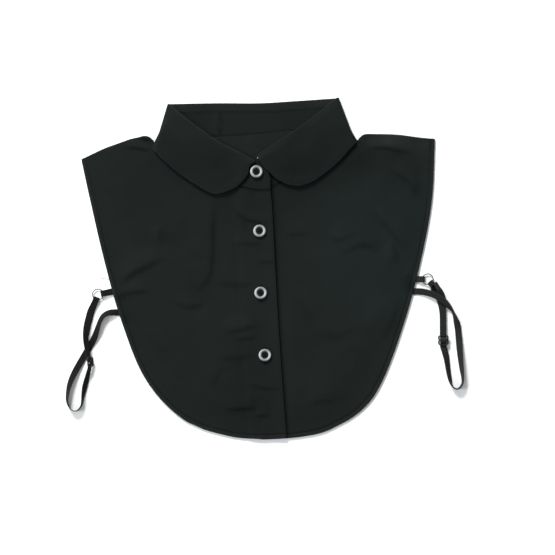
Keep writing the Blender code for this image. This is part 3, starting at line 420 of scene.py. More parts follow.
def make_lamp(name, place, size, energy, colour):
    data = bpy.data.lights.new(name, "AREA")
    data.shape = "DISK"
    data.size = size
    data.energy = energy
    data.color = colour
    lamp = bpy.data.objects.new(name, data)
    lamp.location = place
    lamp.rotation_euler = (-Vector(place)).to_track_quat("-Z", "Y").to_euler()
    bpy.context.scene.collection.objects.link(lamp)


def make_light():
    scene = bpy.context.scene
    world = bpy.data.worlds.new("studio")
    world.use_nodes = True
    background = world.node_tree.nodes["Background"]
    background.inputs["Color"].default_value = (0.97, 0.985, 1.0, 1.0)
    background.inputs["Strength"].default_value = 0.5
    scene.world = world
    make_lamp("window", (-1.0, 2.4, 1.7), 1.0, 150.0, (1.0, 0.99, 0.975))
    make_lamp("fill", (-2.3, -0.3, 1.5), 1.0, 40.0, (0.88, 0.95, 1.0))
    scene.view_settings.view_transform = "Standard"
    scene.view_settings.look = "None"


# Finishes

class Value:
    """A socket of a material. Arithmetic on it adds the nodes for it."""

    def __init__(self, finish, socket):
        self.finish = finish
        self.socket = socket

    def math(self, operation, first, second=0.0):
        return self.finish.node("ShaderNodeMath", {"operation": operation}, {0: first, 1: second})

    def __add__(self, other):
        return self.math("ADD", self, other)

    def __mul__(self, other):
        return self.math("MULTIPLY", self, other)

    __radd__ = __add__
    __rmul__ = __mul__

    def __sub__(self, other):
        return self.math("SUBTRACT", self, other)

    def __rsub__(self, other):
        return self.math("SUBTRACT", other, self)

    def __truediv__(self, other):
        return self.math("DIVIDE", self, other)

    def __rtruediv__(self, other):
        return self.math("DIVIDE", other, self)

    def __pow__(self, other):
        return self.math("POWER", self, other)

    def __abs__(self):
        return self.math("ABSOLUTE", self)

    def sine(self):
        return self.math("SINE", self)

    def cosine(self):
        return self.math("COSINE", self)

    def sign(self):
        return self.math("SIGN", self)

    def above(self, level):
        return self.math("GREATER_THAN", self, level)

    def between(self, low, high):
        """0 below low, 1 above high, and smooth between."""
        return self.finish.node(
            "ShaderNodeMapRange", {"interpolation_type": "SMOOTHSTEP"},
            {0: self, 1: low, 2: high, 3: 0.0, 4: 1.0},
        )


class Finish:
    """A material made of nodes round one Principled shader."""

    def __init__(self, name, **constants):
        self.material = bpy.data.materials.new(name)
        self.material.use_nodes = True
        self.nodes = self.material.node_tree.nodes
        self.shader = self.nodes["Principled BSDF"]
        for socket, value in constants.items():
            self.shader.inputs[socket.replace("_", " ")].default_value = value

    def node(self, kind, settings, sockets, output=0):
        """Any node: its settings first, then the values or links of its sockets."""
        made = self.nodes.new(kind)
        for setting, value in settings.items():
            setattr(made, setting, value)
        for socket, value in sockets.items():
            if isinstance(value, Value):
                self.material.node_tree.links.new(value.socket, made.inputs[socket])
            else:
                made.inputs[socket].default_value = value
        return Value(self, made.outputs[output])

    def feed(self, **links):
        """Links values to the shader's sockets, and gives the finished material."""
        for socket, value in links.items():
            self.material.node_tree.links.new(value.socket, self.shader.inputs[socket.replace("_", " ")])
        return self.material

    def mixed(self, share, first, second, way="MIX"):
        """The first colour where the share is 0 and the second where it is 1."""
        settings = {"data_type": "RGBA", "blend_type": way}
        return self.node("ShaderNodeMix", settings, {0: share, 6: first, 7: second}, 2)

    def surface_map(self):
        return self.node("ShaderNodeUVMap", {"uv_map": "surface"}, {})

    def place(self):
        return self.node("ShaderNodeTexCoord", {}, {}, "Object")

    def parts(self, vector):
        split = self.node("ShaderNodeSeparateXYZ", {}, {0: vector})
        owner = split.socket.node
        return Value(self, owner.outputs[0]), Value(self, owner.outputs[1]), Value(self, owner.outputs[2])

    def stretched(self, vector, scale):
        return self.node("ShaderNodeMapping", {}, {"Vector": vector, "Scale": scale})

    def noise(self, vector, scale, detail=2.0, rough=0.5):
        return self.node(
            "ShaderNodeTexNoise", {}, {"Vector": vector, "Scale": scale, "Detail": detail, "Roughness": rough}
        )

    def bump(self, height, distance, strength=1.0):
        sockets = {"Height": height, "Distance": distance, "Strength": strength}
        return self.node("ShaderNodeBump", {}, sockets, "Normal")

    def attribute(self, name):
        return self.node("ShaderNodeAttribute", {"attribute_name": name}, {}, "Fac")


def shade(level, tint=(1.0, 1.0, 1.0)):
    return (*(level * part for part in tint), 1.0)


CLOTH_TINT = (0.8, 1.0, 0.94)
YARN_PITCH = 0.00052
RIB_PITCH = 0.00092
PICK_PITCH = 0.00056
TWIST_PITCH = 0.00034
TURNING_PITCH = 0.00032


def plain_weave(across, down, pitch):
    """Heights of a plain weave, from 0 in the gaps to 1 on the yarns."""
    warp, weft = across * (math.pi / pitch), down * (math.pi / pitch)
    warp_wave, weft_wave = warp.sine(), weft.sine()
    warp_yarn = warp_wave * warp_wave * (0.5 + 0.5 * warp_wave.sign() * weft.cosine())
    weft_yarn = weft_wave * weft_wave * (0.5 - 0.5 * weft_wave.sign() * warp.cosine())
    return warp_yarn + weft_yarn


def cloth_finish(name, level):
    """Black cotton poplin: a fine, slightly uneven weave with a soft nap; its mark attribute pales it along
    rubbed edges and for painted highlights, and darkens it for painted shade in grooves, folds and patches.
    """
    finish = Finish(
        name, Metallic=0.0, Specular_IOR_Level=0.09, Sheen_Weight=0.05, Sheen_Roughness=0.4,
        Sheen_Tint=(0.7, 0.95, 1.0, 1.0), Specular_Tint=(0.85, 1.0, 0.98, 1.0),
    )
    surface = finish.surface_map()
    across, down, _ = finish.parts(surface)
    uneven = finish.noise(surface, 140.0, 1.0) - 0.5
    weave = plain_weave(across + uneven * 0.00035, down - uneven * 0.0003, YARN_PITCH)
    warp_slub = finish.noise(finish.stretched(surface, (1500.0, 55.0, 1.0)), 1.0, 2.0)
    weft_slub = finish.noise(finish.stretched(surface, (50.0, 1500.0, 1.0)), 1.0, 2.0)
    slubs = (warp_slub + weft_slub) * 0.5
    broad = finish.noise(surface, 22.0, 3.0, 0.55)
    nap = finish.noise(surface, 900.0, 2.0)
    # The mark attribute: above 0 for rubbed edges and painted highlights, below 0 for painted shade
    wear_and_painted_light = finish.attribute("wear_and_painted_light")
    tone = 0.62 + 0.42 * weave + 0.5 * (slubs - 0.5) + 0.3 * (broad - 0.5)
    dark = finish.mixed(tone, shade(0.0, CLOTH_TINT), shade(level, CLOTH_TINT))
    # Paler where edges are rubbed and where highlights are painted
    worn_and_lit = finish.mixed(wear_and_painted_light * (0.35 + 0.65 * nap), dark, shade(level * 2.3, (0.92, 1.0, 1.0)))
    east, north, _ = finish.parts(finish.place())
    bluish = east.between(0.02, 0.1) * north.between(-0.09, 0.0) * north.between(0.12, 0.06)
    warm = finish.mixed(north.between(-0.06, -0.15), shade(1.0), shade(1.0, (1.06, 1.0, 0.92)))
    cast = finish.mixed(bluish, warm, shade(1.0, (0.88, 1.0, 1.03)))
    toned = finish.mixed(1.0, worn_and_lit, cast, "MULTIPLY")
    return finish.feed(
        # Darker where painted shade is marked
        Base_Color=finish.mixed(wear_and_painted_light * -1.0, toned, shade(level * 0.25, CLOTH_TINT)),
        Roughness=0.68 + 0.16 * nap - 0.1 * wear_and_painted_light,
        Normal=finish.bump(weave * 0.8 + slubs * 0.9 + nap * 0.25, 0.00011, 0.7),
    )


def tape_finish(name, level):
    """Elastic tape: rounded ribs along it and fine picks across."""
    finish = Finish(name, Specular_IOR_Level=0.05, Sheen_Weight=0.02, Sheen_Roughness=0.5)
    surface = finish.surface_map()
    across, along_tape, _ = finish.parts(surface)
    rib = (across * (math.pi / RIB_PITCH)).sine()
    ribs = abs(rib)
    picks = abs(((along_tape + rib.sign() * (0.46 * PICK_PITCH)) * (math.pi / PICK_PITCH)).sine())
    fuzz = finish.noise(surface, 1400.0, 2.0)
    stretch = finish.noise(finish.stretched(surface, (40.0, 130.0, 1.0)), 1.0, 2.0)
    edge = finish.attribute("wear_and_painted_light")
    tone = 0.55 * ribs + 0.35 * picks + 0.25 * stretch
    dark = finish.mixed(tone, shade(level * 0.1), shade(level, (0.92, 1.0, 0.9)))
    return finish.feed(
        Base_Color=finish.mixed(edge * 0.4 * fuzz, dark, shade(level * 1.5)),
        Roughness=0.66 + 0.2 * fuzz,
        Normal=finish.bump(ribs + picks * 0.6 + fuzz * 0.3, 0.00016, 0.75),
    )


def thread_finish(name, level, tint=(0.95, 1.0, 1.0)):
    """Twisted sewing thread."""
    finish = Finish(name, Specular_IOR_Level=0.05, Sheen_Weight=0.02)
    place = finish.place()
    x, y, z = finish.parts(place)
    twist = abs(((x + y * 0.7 + z) * (math.pi / TWIST_PITCH)).sine())
    fibre = finish.noise(place, 5200.0, 1.0)
    return finish.feed(
        Base_Color=finish.mixed(twist * 0.7 + fibre * 0.4, shade(level * 0.4, tint), shade(level * 1.25, tint)),
        Roughness=0.45 + 0.2 * fibre,
        Normal=finish.bump(twist + fibre * 0.4, 0.00006, 0.6),
    )


def rim_finish():
    """The buttons' pale rim: like shell, with faint bands and scuffs, and painted shade that makes it darker
    towards the neck and the hem.
    """
    finish = Finish("button_rim", Specular_IOR_Level=0.22)
    place = finish.place()
    clouds = finish.noise(place, 420.0, 3.0, 0.6)
    bands = finish.node(
        "ShaderNodeTexWave", {"wave_type": "BANDS", "bands_direction": "DIAGONAL"},
        {"Vector": place, "Scale": 190.0, "Distortion": 5.0, "Detail": 2.0, "Detail Scale": 2.0}, "Fac",
    )
    scuffs = finish.noise(finish.stretched(place, (900.0, 6500.0, 900.0)), 1.0, 1.0).between(0.62, 0.72)
    tone = clouds * 0.7 + bands * 0.35
    pearl = finish.mixed(tone, shade(0.24, (0.93, 0.98, 1.0)), shade(0.56, (0.97, 0.99, 1.0)))
    # Painted shade: the rim is darkened towards the neck and the hem
    painted_rim_shade = finish.mixed(finish.attribute("wear_and_painted_light") * 0.75, pearl, shade(0.1, (0.95, 1.0, 1.0)))
    return finish.feed(
        Base_Color=finish.mixed(scuffs * 0.35, painted_rim_shade, shade(0.2)),
        Metallic=0.1 + 0.15 * bands,
        Roughness=0.42 + 0.16 * clouds + 0.15 * scuffs,
        Normal=finish.bump(bands * 0.4 + scuffs * 0.5, 0.00003, 0.4),
    )


def centre_finish():
    """The buttons' black middle, turned and lightly polished."""
    finish = Finish("button_centre", Specular_IOR_Level=0.2)
    surface = finish.surface_map()
    across, _, _ = finish.parts(surface)
    rings = (across * (2 * math.pi / TURNING_PITCH)).sine() * 0.5 + 0.5
    dust = finish.noise(finish.place(), 2600.0, 2.0)
    specks = dust.between(0.66, 0.75)
    return finish.feed(
        Base_Color=finish.mixed(specks * 0.4, shade(0.003, (0.95, 1.0, 1.0)), shade(0.02)),
        Roughness=0.36 + 0.1 * rings + 0.2 * dust,
        Normal=finish.bump(rings + dust * 0.6, 0.00002, 0.35),
    )


def metal_finish():
    """The rings' dark plated wire, paler where it has rubbed."""
    finish = Finish("ring_wire", Metallic=0.9, Specular_IOR_Level=0.5)
    place = finish.place()
    rub = finish.noise(place, 900.0, 3.0, 0.6)
    grain = finish.noise(finish.stretched(place, (600.0, 600.0, 6000.0)), 1.0, 1.0)
    return finish.feed(
        Base_Color=finish.mixed(rub.between(0.42, 0.68), shade(0.035), shade(0.16, (0.97, 1.0, 1.0))),
        Roughness=0.3 + 0.2 * grain,
        Normal=finish.bump(grain + rub * 0.4, 0.00003, 0.35),
    )


def enamel_finish():
    """The sliders' black enamel, with fine scratches and paler rubbed corners."""
    finish = Finish("slider_enamel", Specular_IOR_Level=0.08, Coat_Roughness=0.5, Coat_IOR=1.4)
    place = finish.place()
    peel = finish.noise(place, 1500.0, 2.0)
    scratches = finish.noise(finish.stretched(place, (700.0, 7000.0, 700.0)), 1.0, 2.0).between(0.6, 0.68)
    edge = finish.attribute("wear_and_painted_light")
    dark = finish.mixed(peel, shade(0.008), shade(0.018, (0.95, 1.0, 1.0)))
    return finish.feed(
        Base_Color=finish.mixed(scratches * 0.3 + edge * 0.3 * peel, dark, shade(0.045)),
        Roughness=0.42 + 0.15 * scratches + 0.1 * peel,
        Coat_Weight=0.02 + 0.04 * peel,
        Normal=finish.bump(peel * 0.6 + scratches, 0.00003, 0.4),
    )


def table_finish():
    """The pale matt table."""
    finish = Finish("table", Specular_IOR_Level=0.1)
    place = finish.place()
    paper = finish.noise(place, 260.0, 3.0)
    return finish.feed(
        Base_Color=finish.mixed(paper, shade(0.9), shade(0.935)),
        Roughness=0.8 + 0.1 * paper,
        Normal=finish.bump(paper, 0.00004, 0.15),
    )


# Curves and fades

def smooth_step(low, high, value):
    """0 at low, 1 at high, and smooth between."""
    t = np.clip((np.asarray(value, float) - low) / (high - low), 0, 1)
    return t * t * (3 - 2 * t)


def fade(low, high, value):
    """1 at low, 0 at high, and smooth between."""
    return 1 - smooth_step(low, high, value)


def bell(value, reach):
    """1 where the value is 0, and falling smoothly on both sides."""
    return np.exp(-((value / reach) ** 2))


def through(points, per_span=12):
    """A smooth curve through the points, as an array of close points."""
    p = np.array(points, float)
    p = np.vstack([2 * p[0] - p[1], p, 2 * p[-1] - p[-2]])
    t = np.linspace(0, 1, per_span, endpoint=False)[:, None]
    spans = []
    for a, b, c, d in zip(p, p[1:], p[2:], p[3:]):
        spans.append(
            0.5 * (2 * b + (c - a) * t + (2 * a - 5 * b + 4 * c - d) * t**2 + (3 * b - a - 3 * c + d) * t**3)
        )
    return np.vstack([*spans, p[-2][None]])


def along(line):
    """The distance of each point of a line from its start."""
    return np.concatenate([[0], np.cumsum(np.linalg.norm(np.diff(line, axis=0), axis=1))])


def at_shares(line, shares):
    """The points at these shares of a line's length."""
    at = along(line)
    return np.stack([np.interp(shares * at[-1], at, line[:, k]) for k in range(line.shape[1])], axis=1)


def even(line, cells):
    return at_shares(line, np.linspace(0, 1, cells + 1))


def close_at_ends(cells, crowding=EDGE_CROWDING):
    """Shares from 0 to 1 that lie closer together near both ends."""
    t = np.linspace(0, 1, cells + 1)
    return t - crowding * np.sin(2 * math.pi * t) / (2 * math.pi)


def unit(vectors):
    return vectors / np.linalg.norm(vectors, axis=-1, keepdims=True)


def off_line(points, line):
    """How far each point is from a line, on which side, and how far along the line it is."""
    flat = points.reshape(-1, 2)
    best = np.full(len(flat), np.inf)
    side, place = np.zeros(len(flat)), np.zeros(len(flat))
    for start, run, begin in zip(line, np.diff(line, axis=0), along(line)):
        length = np.linalg.norm(run)
        if length == 0:
            continue
        offset = flat - start
        t = np.clip(offset @ run / length**2, 0, 1)
        distance = np.linalg.norm(offset - t[:, None] * run, axis=1)
        closer = distance < best
        best[closer] = distance[closer]
        side[closer] = np.sign(run[0] * offset[closer, 1] - run[1] * offset[closer, 0])
        place[closer] = begin + t[closer] * length
    shape = points.shape[:-1]
    return best.reshape(shape), side.reshape(shape), place.reshape(shape)


def inset(line, by):
    """The line moved to its left by a distance."""
    tangent = unit(np.gradient(line, axis=0))
    return line + np.stack([-tangent[:, 1], tangent[:, 0]], axis=1) * np.reshape(by, (-1, 1))


def fill(first_row, last_row, first_column, last_column, u=None, v=None):
    """A grid of points between four edges that meet at their ends."""
    v = (np.linspace(0, 1, len(first_column)) if v is None else v)[:, None, None]
    u = (np.linspace(0, 1, len(first_row)) if u is None else u)[None, :, None]
    rows = (1 - v) * first_row[None] + v * last_row[None]
    columns = (1 - u) * first_column[:, None] + u * last_column[:, None]
    corners = (1 - v) * ((1 - u) * first_row[0] + u * first_row[-1])
    corners = corners + v * ((1 - u) * last_row[0] + u * last_row[-1])
    return rows + columns - corners


def raised(grid, height):
    """A flat grid with a height for each point."""
    return np.concatenate([grid, np.broadcast_to(np.asarray(height), grid.shape[:2])[..., None]], axis=2)


def ripple(points, size, seed):
    """Smooth uneven values from about -1 to 1 over the plan, with swells of one size."""
    flat = points.reshape(-1, points.shape[-1])
    values = [noise.noise(Vector((p[0] / size, p[1] / size, seed))) for p in flat]
    return np.array(values).reshape(points.shape[:-1]) * 1.6


def wander(at, size, seed):
    """Smooth uneven values from about -1 to 1 along a line."""
    flat = np.ravel(at)
    return np.array([noise.noise(Vector((a / size, seed, 0))) for a in flat]).reshape(np.shape(at)) * 1.6


# Heights of the layers

def back_height(xy):
    """The back lies on the table, and over the fall behind the neck."""
    over = smooth_step(*BACK_RISE_LEFT, xy[..., 0]) * smooth_step(*BACK_RISE_RIGHT, xy[..., 0])
    return BACK_MID + LAYER * over * smooth_step(*BACK_RISE, xy[..., 1])


def side_share(xy, left):
    """How far the collar has risen towards its side fold."""
    return smooth_step(*(SIDE_RISE_LEFT if left else SIDE_RISE_RIGHT), xy[..., 0])


def band_height(xy, left):
    """The front of the band, one layer higher on the left side, which laps over."""
    layers = 2 if left else 1
    rise = STAND_SIDE_MID - BACK_MID - (layers + 1) * LAYER
    return back_height(xy) + layers * LAYER + rise * side_share(xy, left)


def fall_height(xy, left):
    """The front of the fall, just over the band."""
    rise = FALL_SIDE_MID - BACK_MID - 4 * LAYER
    return back_height(xy) + 3 * LAYER + rise * side_share(xy, left)


def fold_fields(xy, folds):
    """Ridges, gentle towards the window and steep away from it, that fade at both ends, and the painted shade on
    their steep sides.
    """
    relief, dark = np.zeros(xy.shape[:-1]), np.zeros(xy.shape[:-1])
    for number, fold in enumerate(folds):
        line = through(fold.line, 6)
        away, side, place = off_line(xy, line)
        share = place / along(line)[-1]
        ends = smooth_step(*FOLD_START, share) * smooth_step(*FOLD_END, share)
        width = fold.width * (1 + 0.25 * wander(place, 17.0, number + 0.5))
        chord = line[-1] - line[0]
        lit = np.sign(-chord[1] * LIT_FROM.x + chord[0] * LIT_FROM.y)
        towards = away * side * lit
        steep = FOLD_DARK_REACH[0] * width + FOLD_DARK_REACH[1]
        reach = np.where(towards > 0, FOLD_LIT_REACH * width, steep)
        relief += FOLD_DEPTH * fold.height * ends * bell(towards, reach)
        # Painted shade along each fold's steep side
        dark += FOLD_SHADE * fold.height * ends * bell(towards + 0.8 * steep, 1.1 * steep)
    return relief, dark


def painted_light_and_shade(xy):
    """The painted light and shade of the listed patches at each point, over a faint uneven tone."""
    shades = 0.06 * ripple(xy, 30.0, 2.2)
    for patch in LIGHT_AND_SHADE_PATCHES:
        away = (xy[..., 0] - patch.x) ** 2 + (xy[..., 1] - patch.y) ** 2
        shades = shades + patch.shade * np.exp(-away / patch.reach**2)
    return shades


def lap_x(y):
    """Where the lap's edge is, at each distance down the front."""
    line = np.array(LAP_EDGE)[::-1]
    return np.interp(y, line[:, 1], line[:, 0])


def hem_relief(from_edge, place, seed):
    """A turned hem: thicker up to its stitching, drawn in along it, rounded at the edge and a little uneven."""
    from_stitch = from_edge - HEM_STITCH_IN
    step = HEM_STEP * fade(HEM - 0.7, HEM + 0.6, from_edge)
    stitched = -HEM_DRAWN * bell(from_stitch, 0.8)
    pull = HEM_PULL * wander(place, 7.0, seed) * bell(from_stitch, 4.0)
    return step + stitched + pull - HEM_TURNED * fade(0, EDGE_ROUND, from_edge)


# Meshes

def placed(x, y, z):
    """A point of the layout as a place in metres, with the layout's own place taken in."""
    return Vector((x + PLACE.x, y + PLACE.y, z)) * MM


def new_piece(name, mesh, finish, nodes=()):
    """A finished piece: it moves with the body, and stands for its solids."""
    piece = bpy.data.objects.new(name, mesh)
    piece.data.materials.clear()
    piece.data.materials.append(finish)
    bpy.context.scene.collection.objects.link(piece)
    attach(piece, "root")
    if nodes:
        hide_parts(*nodes)
    return piece


def mesh_of(bm, name, smooth=True):
    mesh = bpy.data.meshes.new(name)
    bm.to_mesh(mesh)
    bm.free()
    if smooth:
        mesh.shade_smooth()
    return mesh


def wall_mesh(name, grid, surface, wear_and_painted_light):
    """A grid of points as a mesh, less those left out, with its marks of rubbing and painted light and its
    surface map in metres.
    """
    rows, columns = grid.shape[:2]
    bm = bmesh.new()
    bmesh.ops.create_grid(bm, x_segments=columns - 1, y_segments=rows - 1, size=1.0)
    worn_and_lit = bm.verts.layers.float.new("wear_and_painted_light")
    laid = bm.loops.layers.uv.new("surface")
    cells, unused = {}, []
    for vertex in bm.verts:
        cell = (round((vertex.co.y + 1) / 2 * (rows - 1)), round((vertex.co.x + 1) / 2 * (columns - 1)))
        cells[vertex] = cell
        if np.isnan(grid[cell][0]):
            unused.append(vertex)
        else:
            vertex.co = placed(*grid[cell])
            vertex[worn_and_lit] = wear_and_painted_light[cell]
    for face in bm.faces:
        for loop in face.loops:
            loop[laid].uv = surface[cells[loop.vert]] * MM
    bmesh.ops.delete(bm, geom=unused, context="VERTS")
    return mesh_of(bm, name)


def cloth_piece(name, node, grid, surface, wear_and_painted_light, finish, thickness):
    """A wall of cloth round a grid, with softened rims."""
    piece = new_piece(name, wall_mesh(name, grid, surface, wear_and_painted_light), finish, [node])
    wall = piece.modifiers.new("Wall", "SOLIDIFY")
    wall.thickness = thickness * MM
    wall.offset = 0.0
    rim = piece.modifiers.new("Rim", "BEVEL")
    rim.width = thickness * 0.3 * MM
    rim.segments = 2
    rim.limit_method = "ANGLE"
    rim.angle_limit = math.radians(60)
    return piece


# Fronts and back

def shoulder_roll(edge, outward, top, bottom):
    """Rows that take a front round its shoulder fold to the back's edge, outermost row first."""
    rows = []
    for step in range(SHOULDER_ROLL_CELLS, 0, -1):
        angle = math.pi * step / SHOULDER_ROLL_CELLS
        radius = (top - bottom) / 2
        plan = edge + outward * (radius * math.sin(angle))[:, None]
        height = (top + bottom) / 2 + radius * math.cos(angle)
        rows.append(np.concatenate([plan, height[:, None]], axis=1))
    return np.array(rows)


def edge_below(line, corner):
    """An outline cut in two at the point nearest a corner."""
    at = int(np.linalg.norm(line - np.array(corner), axis=1).argmin())
    return line[: at + 1], line[at:]


def neck_seam(left):
    """The neck seam of one front, from the side fold to the front end."""
    return even(through(NECK_LEFT if left else NECK_RIGHT), NECK_CELLS)


def shoulder_seam(shoulder, inward, below):
    """The line where a front starts to fold over at the shoulder, or one further in for the back."""
    rim = np.linspace(SHOULDER_RIM, SHOULDER_RIM + 0.7, SHOULDER_CELLS + 1)
    return inset(even(through(shoulder), SHOULDER_CELLS), inward * (rim + below))


class Front:
    """One front of the collar, with the height of its cloth at any point of its plan."""

    def __init__(self, left):
        self.left = left
        self.name = "left" if left else "right"
        edge, corner, shoulder, self.folds = (
            (LEFT_EDGE, LEFT_CORNER, LEFT_SHOULDER, FOLDS_LEFT) if left
            else (RIGHT_EDGE, RIGHT_CORNER, RIGHT_SHOULDER, FOLDS_RIGHT)
        )
        self.inward = -1.0 if left else 1.0
        self.seam = inset(neck_seam(left), self.inward * GAP / 2)
        self.lap = through(LAP_EDGE) - [0 if left else LAP_WIDTH, 0]
        self.lap[0] = self.seam[-1]
        side, hem = edge_below(through(edge), corner)
        hem_end = int(np.linalg.norm(hem - self.lap[-1], axis=1).argmin())
        self.hem = np.vstack([hem[:hem_end], self.lap[-1]])
        self.top_edge = shoulder_seam(shoulder, self.inward, 0)
        self.side = np.vstack([self.top_edge[0], side[side[:, 1] < self.top_edge[0, 1] - 2]])
        self.outline = np.vstack([self.side, self.hem[1:]])
        self.seam_lift = band_height(self.seam, left) - back_height(self.seam) - LAYER
        if left:
            self.seam_lift = self.seam_lift - LAYER * self.over_lap(self.seam)
        self.seam_at = along(self.seam)

    def over_lap(self, xy):
        """1 where the buttonhole side lies over the button side."""
        return smooth_step(*LAP_RISE, xy[..., 0] - lap_x(xy[..., 1]))

    def height(self, xy):
        """The middle of the cloth: over the back, up to the neck seam, with folds away from the edges."""
        from_lap = xy[..., 0] - lap_x(xy[..., 1])
        base = back_height(xy) + LAYER
        if self.left:
            base = base + LAYER * self.over_lap(xy)
            from_band = -LAP_WIDTH - from_lap
        else:
            from_band = from_lap
        from_seam, _, seam_place = off_line(xy, self.seam)
        lift = np.interp(seam_place, self.seam_at, self.seam_lift) * fade(0, NECK_FALL_OFF, from_seam)
        from_edge, _, place = off_line(xy, self.outline)
        free = smooth_step(*AIR_EDGE, from_edge) * smooth_step(*AIR_NECK, from_seam)
        free = free * smooth_step(*AIR_LAP, from_band)
        open_cloth = smooth_step(*OPEN_EDGE, from_edge) * smooth_step(*OPEN_NECK, from_seam)
        swell = 0.42 * ripple(xy, BROAD_SWELL, 3.1 if self.left else 8.7) + 0.2 * ripple(xy, SMALL_SWELL, 5.3)
        folds = fold_fields(xy, self.folds)[0] * (1 if self.left else smooth_step(*UNDER_LAP, from_band))
        relief = AIR * free + (folds + swell * (0.35 + 0.65 * free)) * open_cloth
        relief = relief + self.seam_pull(from_seam, seam_place) + self.edge_pull(from_lap)
        relief = np.where(relief < 0, LOWEST_RELIEF * np.tanh(relief / LOWEST_RELIEF), relief)
        return base + lift + relief + hem_relief(from_edge, place, 2.0 if self.left else 6.0)

    def seam_pull(self, from_seam, place):
        """Small gathers that fan out from the neck seam."""
        reach = bell(from_seam, GATHER_REACH) * smooth_step(0, 3, from_seam)
        return GATHER * wander(place, GATHER_SIZE, 9.0) * reach

    def edge_pull(self, from_lap):
        """The buttonhole side's pressed front edge, which is rounded and stands off the other front a little."""
        if not self.left:
            return np.zeros_like(from_lap)
        rounded = -0.25 * fade(0, 0.9, -from_lap) + 0.06 * bell(from_lap + 2.0, 1.2)
        return rounded + LAP_LIFT * fade(0, LAP_LIFT_REACH, -from_lap)

    def grid(self):
        """Rows from the shoulder and neck to the hem, columns from the side edge to the lap."""
        top = np.vstack([self.top_edge, self.seam])
        u = along(top) / along(top)[-1]
        v = close_at_ends(FRONT_ROWS)
        plan = fill(top, at_shares(self.hem, u), at_shares(self.side, v), at_shares(self.lap, v), u, v)
        height = self.height(plan)
        roll = shoulder_roll(
            self.top_edge, self.top_edge - inset(self.top_edge, self.inward),
            height[0, : len(self.top_edge)], back_height(self.top_edge),
        )
        none = np.full((len(roll), len(self.seam), 3), np.nan)
        return np.vstack([np.concatenate([roll, none], axis=1), raised(plan, height)])

    def wear_and_painted_light(self, grid):
        """1 along the edges, where dye rubs off first; below 0 for painted shade in the grooves, beside the lap
        and on the folds' steep sides; and the painted light and shade of the patches.
        """
        plan = np.nan_to_num(grid[..., :2])
        from_edge, _, place = off_line(grid[..., :2], self.outline)
        from_seam, _, _ = off_line(grid[..., :2], self.seam)
        from_lap = lap_x(grid[..., 1]) - grid[..., 0]
        rubbed = bell(from_edge, RUB_REACH) * (0.55 + 0.45 * wander(place, RUB_SIZE, 4.0))
        rubbed = rubbed + HEM_RUB * fade(HEM - 1.6, HEM - 0.6, from_edge)
        # Painted shade in the hem's stitch line, and along the neck seam, most by the band's end where its shadow
        # falls
        painted_shade = HEM_GROOVE_SHADE * bell(from_edge - HEM_STITCH_IN, 0.9) * (0.8 + 0.3 * wander(place, 9.0, 1.0))
        by_button = smooth_step(-34, -20, grid[..., 0])
        painted_shade = painted_shade + (0.5 + 0.4 * by_button) * bell(from_seam, 1.1 + 1.1 * by_button)
        if self.left:
            rubbed = np.maximum(rubbed, LAP_RUB * bell(from_lap, 0.8))
        else:
            # Painted shadow cast by the lap on the button side
            painted_shade = painted_shade + LAP_SHADE * bell(from_lap, 3.0)
            painted_shade = painted_shade + LAP_WIDE_SHADE * bell(from_lap, 9.0) * smooth_step(-60, 20, grid[..., 1])
        # Painted shade on the folds' steep sides
        dark = fold_fields(plan, self.folds)[1] * smooth_step(3, 9, from_edge)
        return np.nan_to_num(np.clip(rubbed - painted_shade - dark + painted_light_and_shade(plan), -1, 1))


def back_neck():
    """The seam between the back and the band."""
    return even(through(NECK_BACK), BACK_COLUMNS - 2)


class Back:
    """The back, with the height of its cloth at any point of its plan."""

    def __init__(self):
        left_line, left_hem = edge_below(through(LEFT_EDGE), LEFT_CORNER)
        right_line, right_hem = edge_below(through(RIGHT_EDGE), RIGHT_CORNER)
        right_hem = right_hem[right_hem[:, 0] > 0]
        left_top = shoulder_seam(LEFT_SHOULDER, -1, GAP)
        right_top = shoulder_seam(RIGHT_SHOULDER, 1, GAP)
        self.neck = inset(back_neck(), -GAP / 2)
        self.top = np.vstack([left_top, self.neck, right_top[::-1]])
        left = inset(left_line, BACK_INSET)
        self.left = np.vstack([self.top[0], left[left[:, 1] < self.top[0, 1] - 2]])
        right = inset(right_line, -BACK_INSET)
        self.right = np.vstack([self.top[-1], right[right[:, 1] < self.top[-1, 1] - 2]])
        self.hem = np.vstack([inset(left_hem, BACK_INSET)[:-1], inset(right_hem, -BACK_INSET)[::-1][1:]])
        self.hem[0], self.hem[-1] = self.left[-1], self.right[-1]
        self.outline = np.vstack([self.left, self.hem[1:-1], self.right[::-1]])

    def height(self, xy):
        from_edge, _, place = off_line(xy, self.outline)
        relief = 0.5 * hem_relief(from_edge, place, 12.0) + fold_fields(xy, FOLDS_BACK)[0]
        relief = np.where(relief < 0, BACK_LOWEST * np.tanh(relief / BACK_LOWEST), relief)
        return back_height(xy) + relief

    def grid(self):
        u = along(self.top) / along(self.top)[-1]
        v = close_at_ends(BACK_ROWS)
        plan = fill(self.top, at_shares(self.hem, u), at_shares(self.left, v), at_shares(self.right, v), u, v)
        return raised(plan, self.height(plan))

    def wear_and_painted_light(self, grid):
        from_edge, _, place = off_line(grid[..., :2], self.outline)
        return np.clip(bell(from_edge, RUB_REACH) * (0.5 + 0.5 * wander(place, RUB_SIZE, 7.0)), 0, 1)


# Band and fall

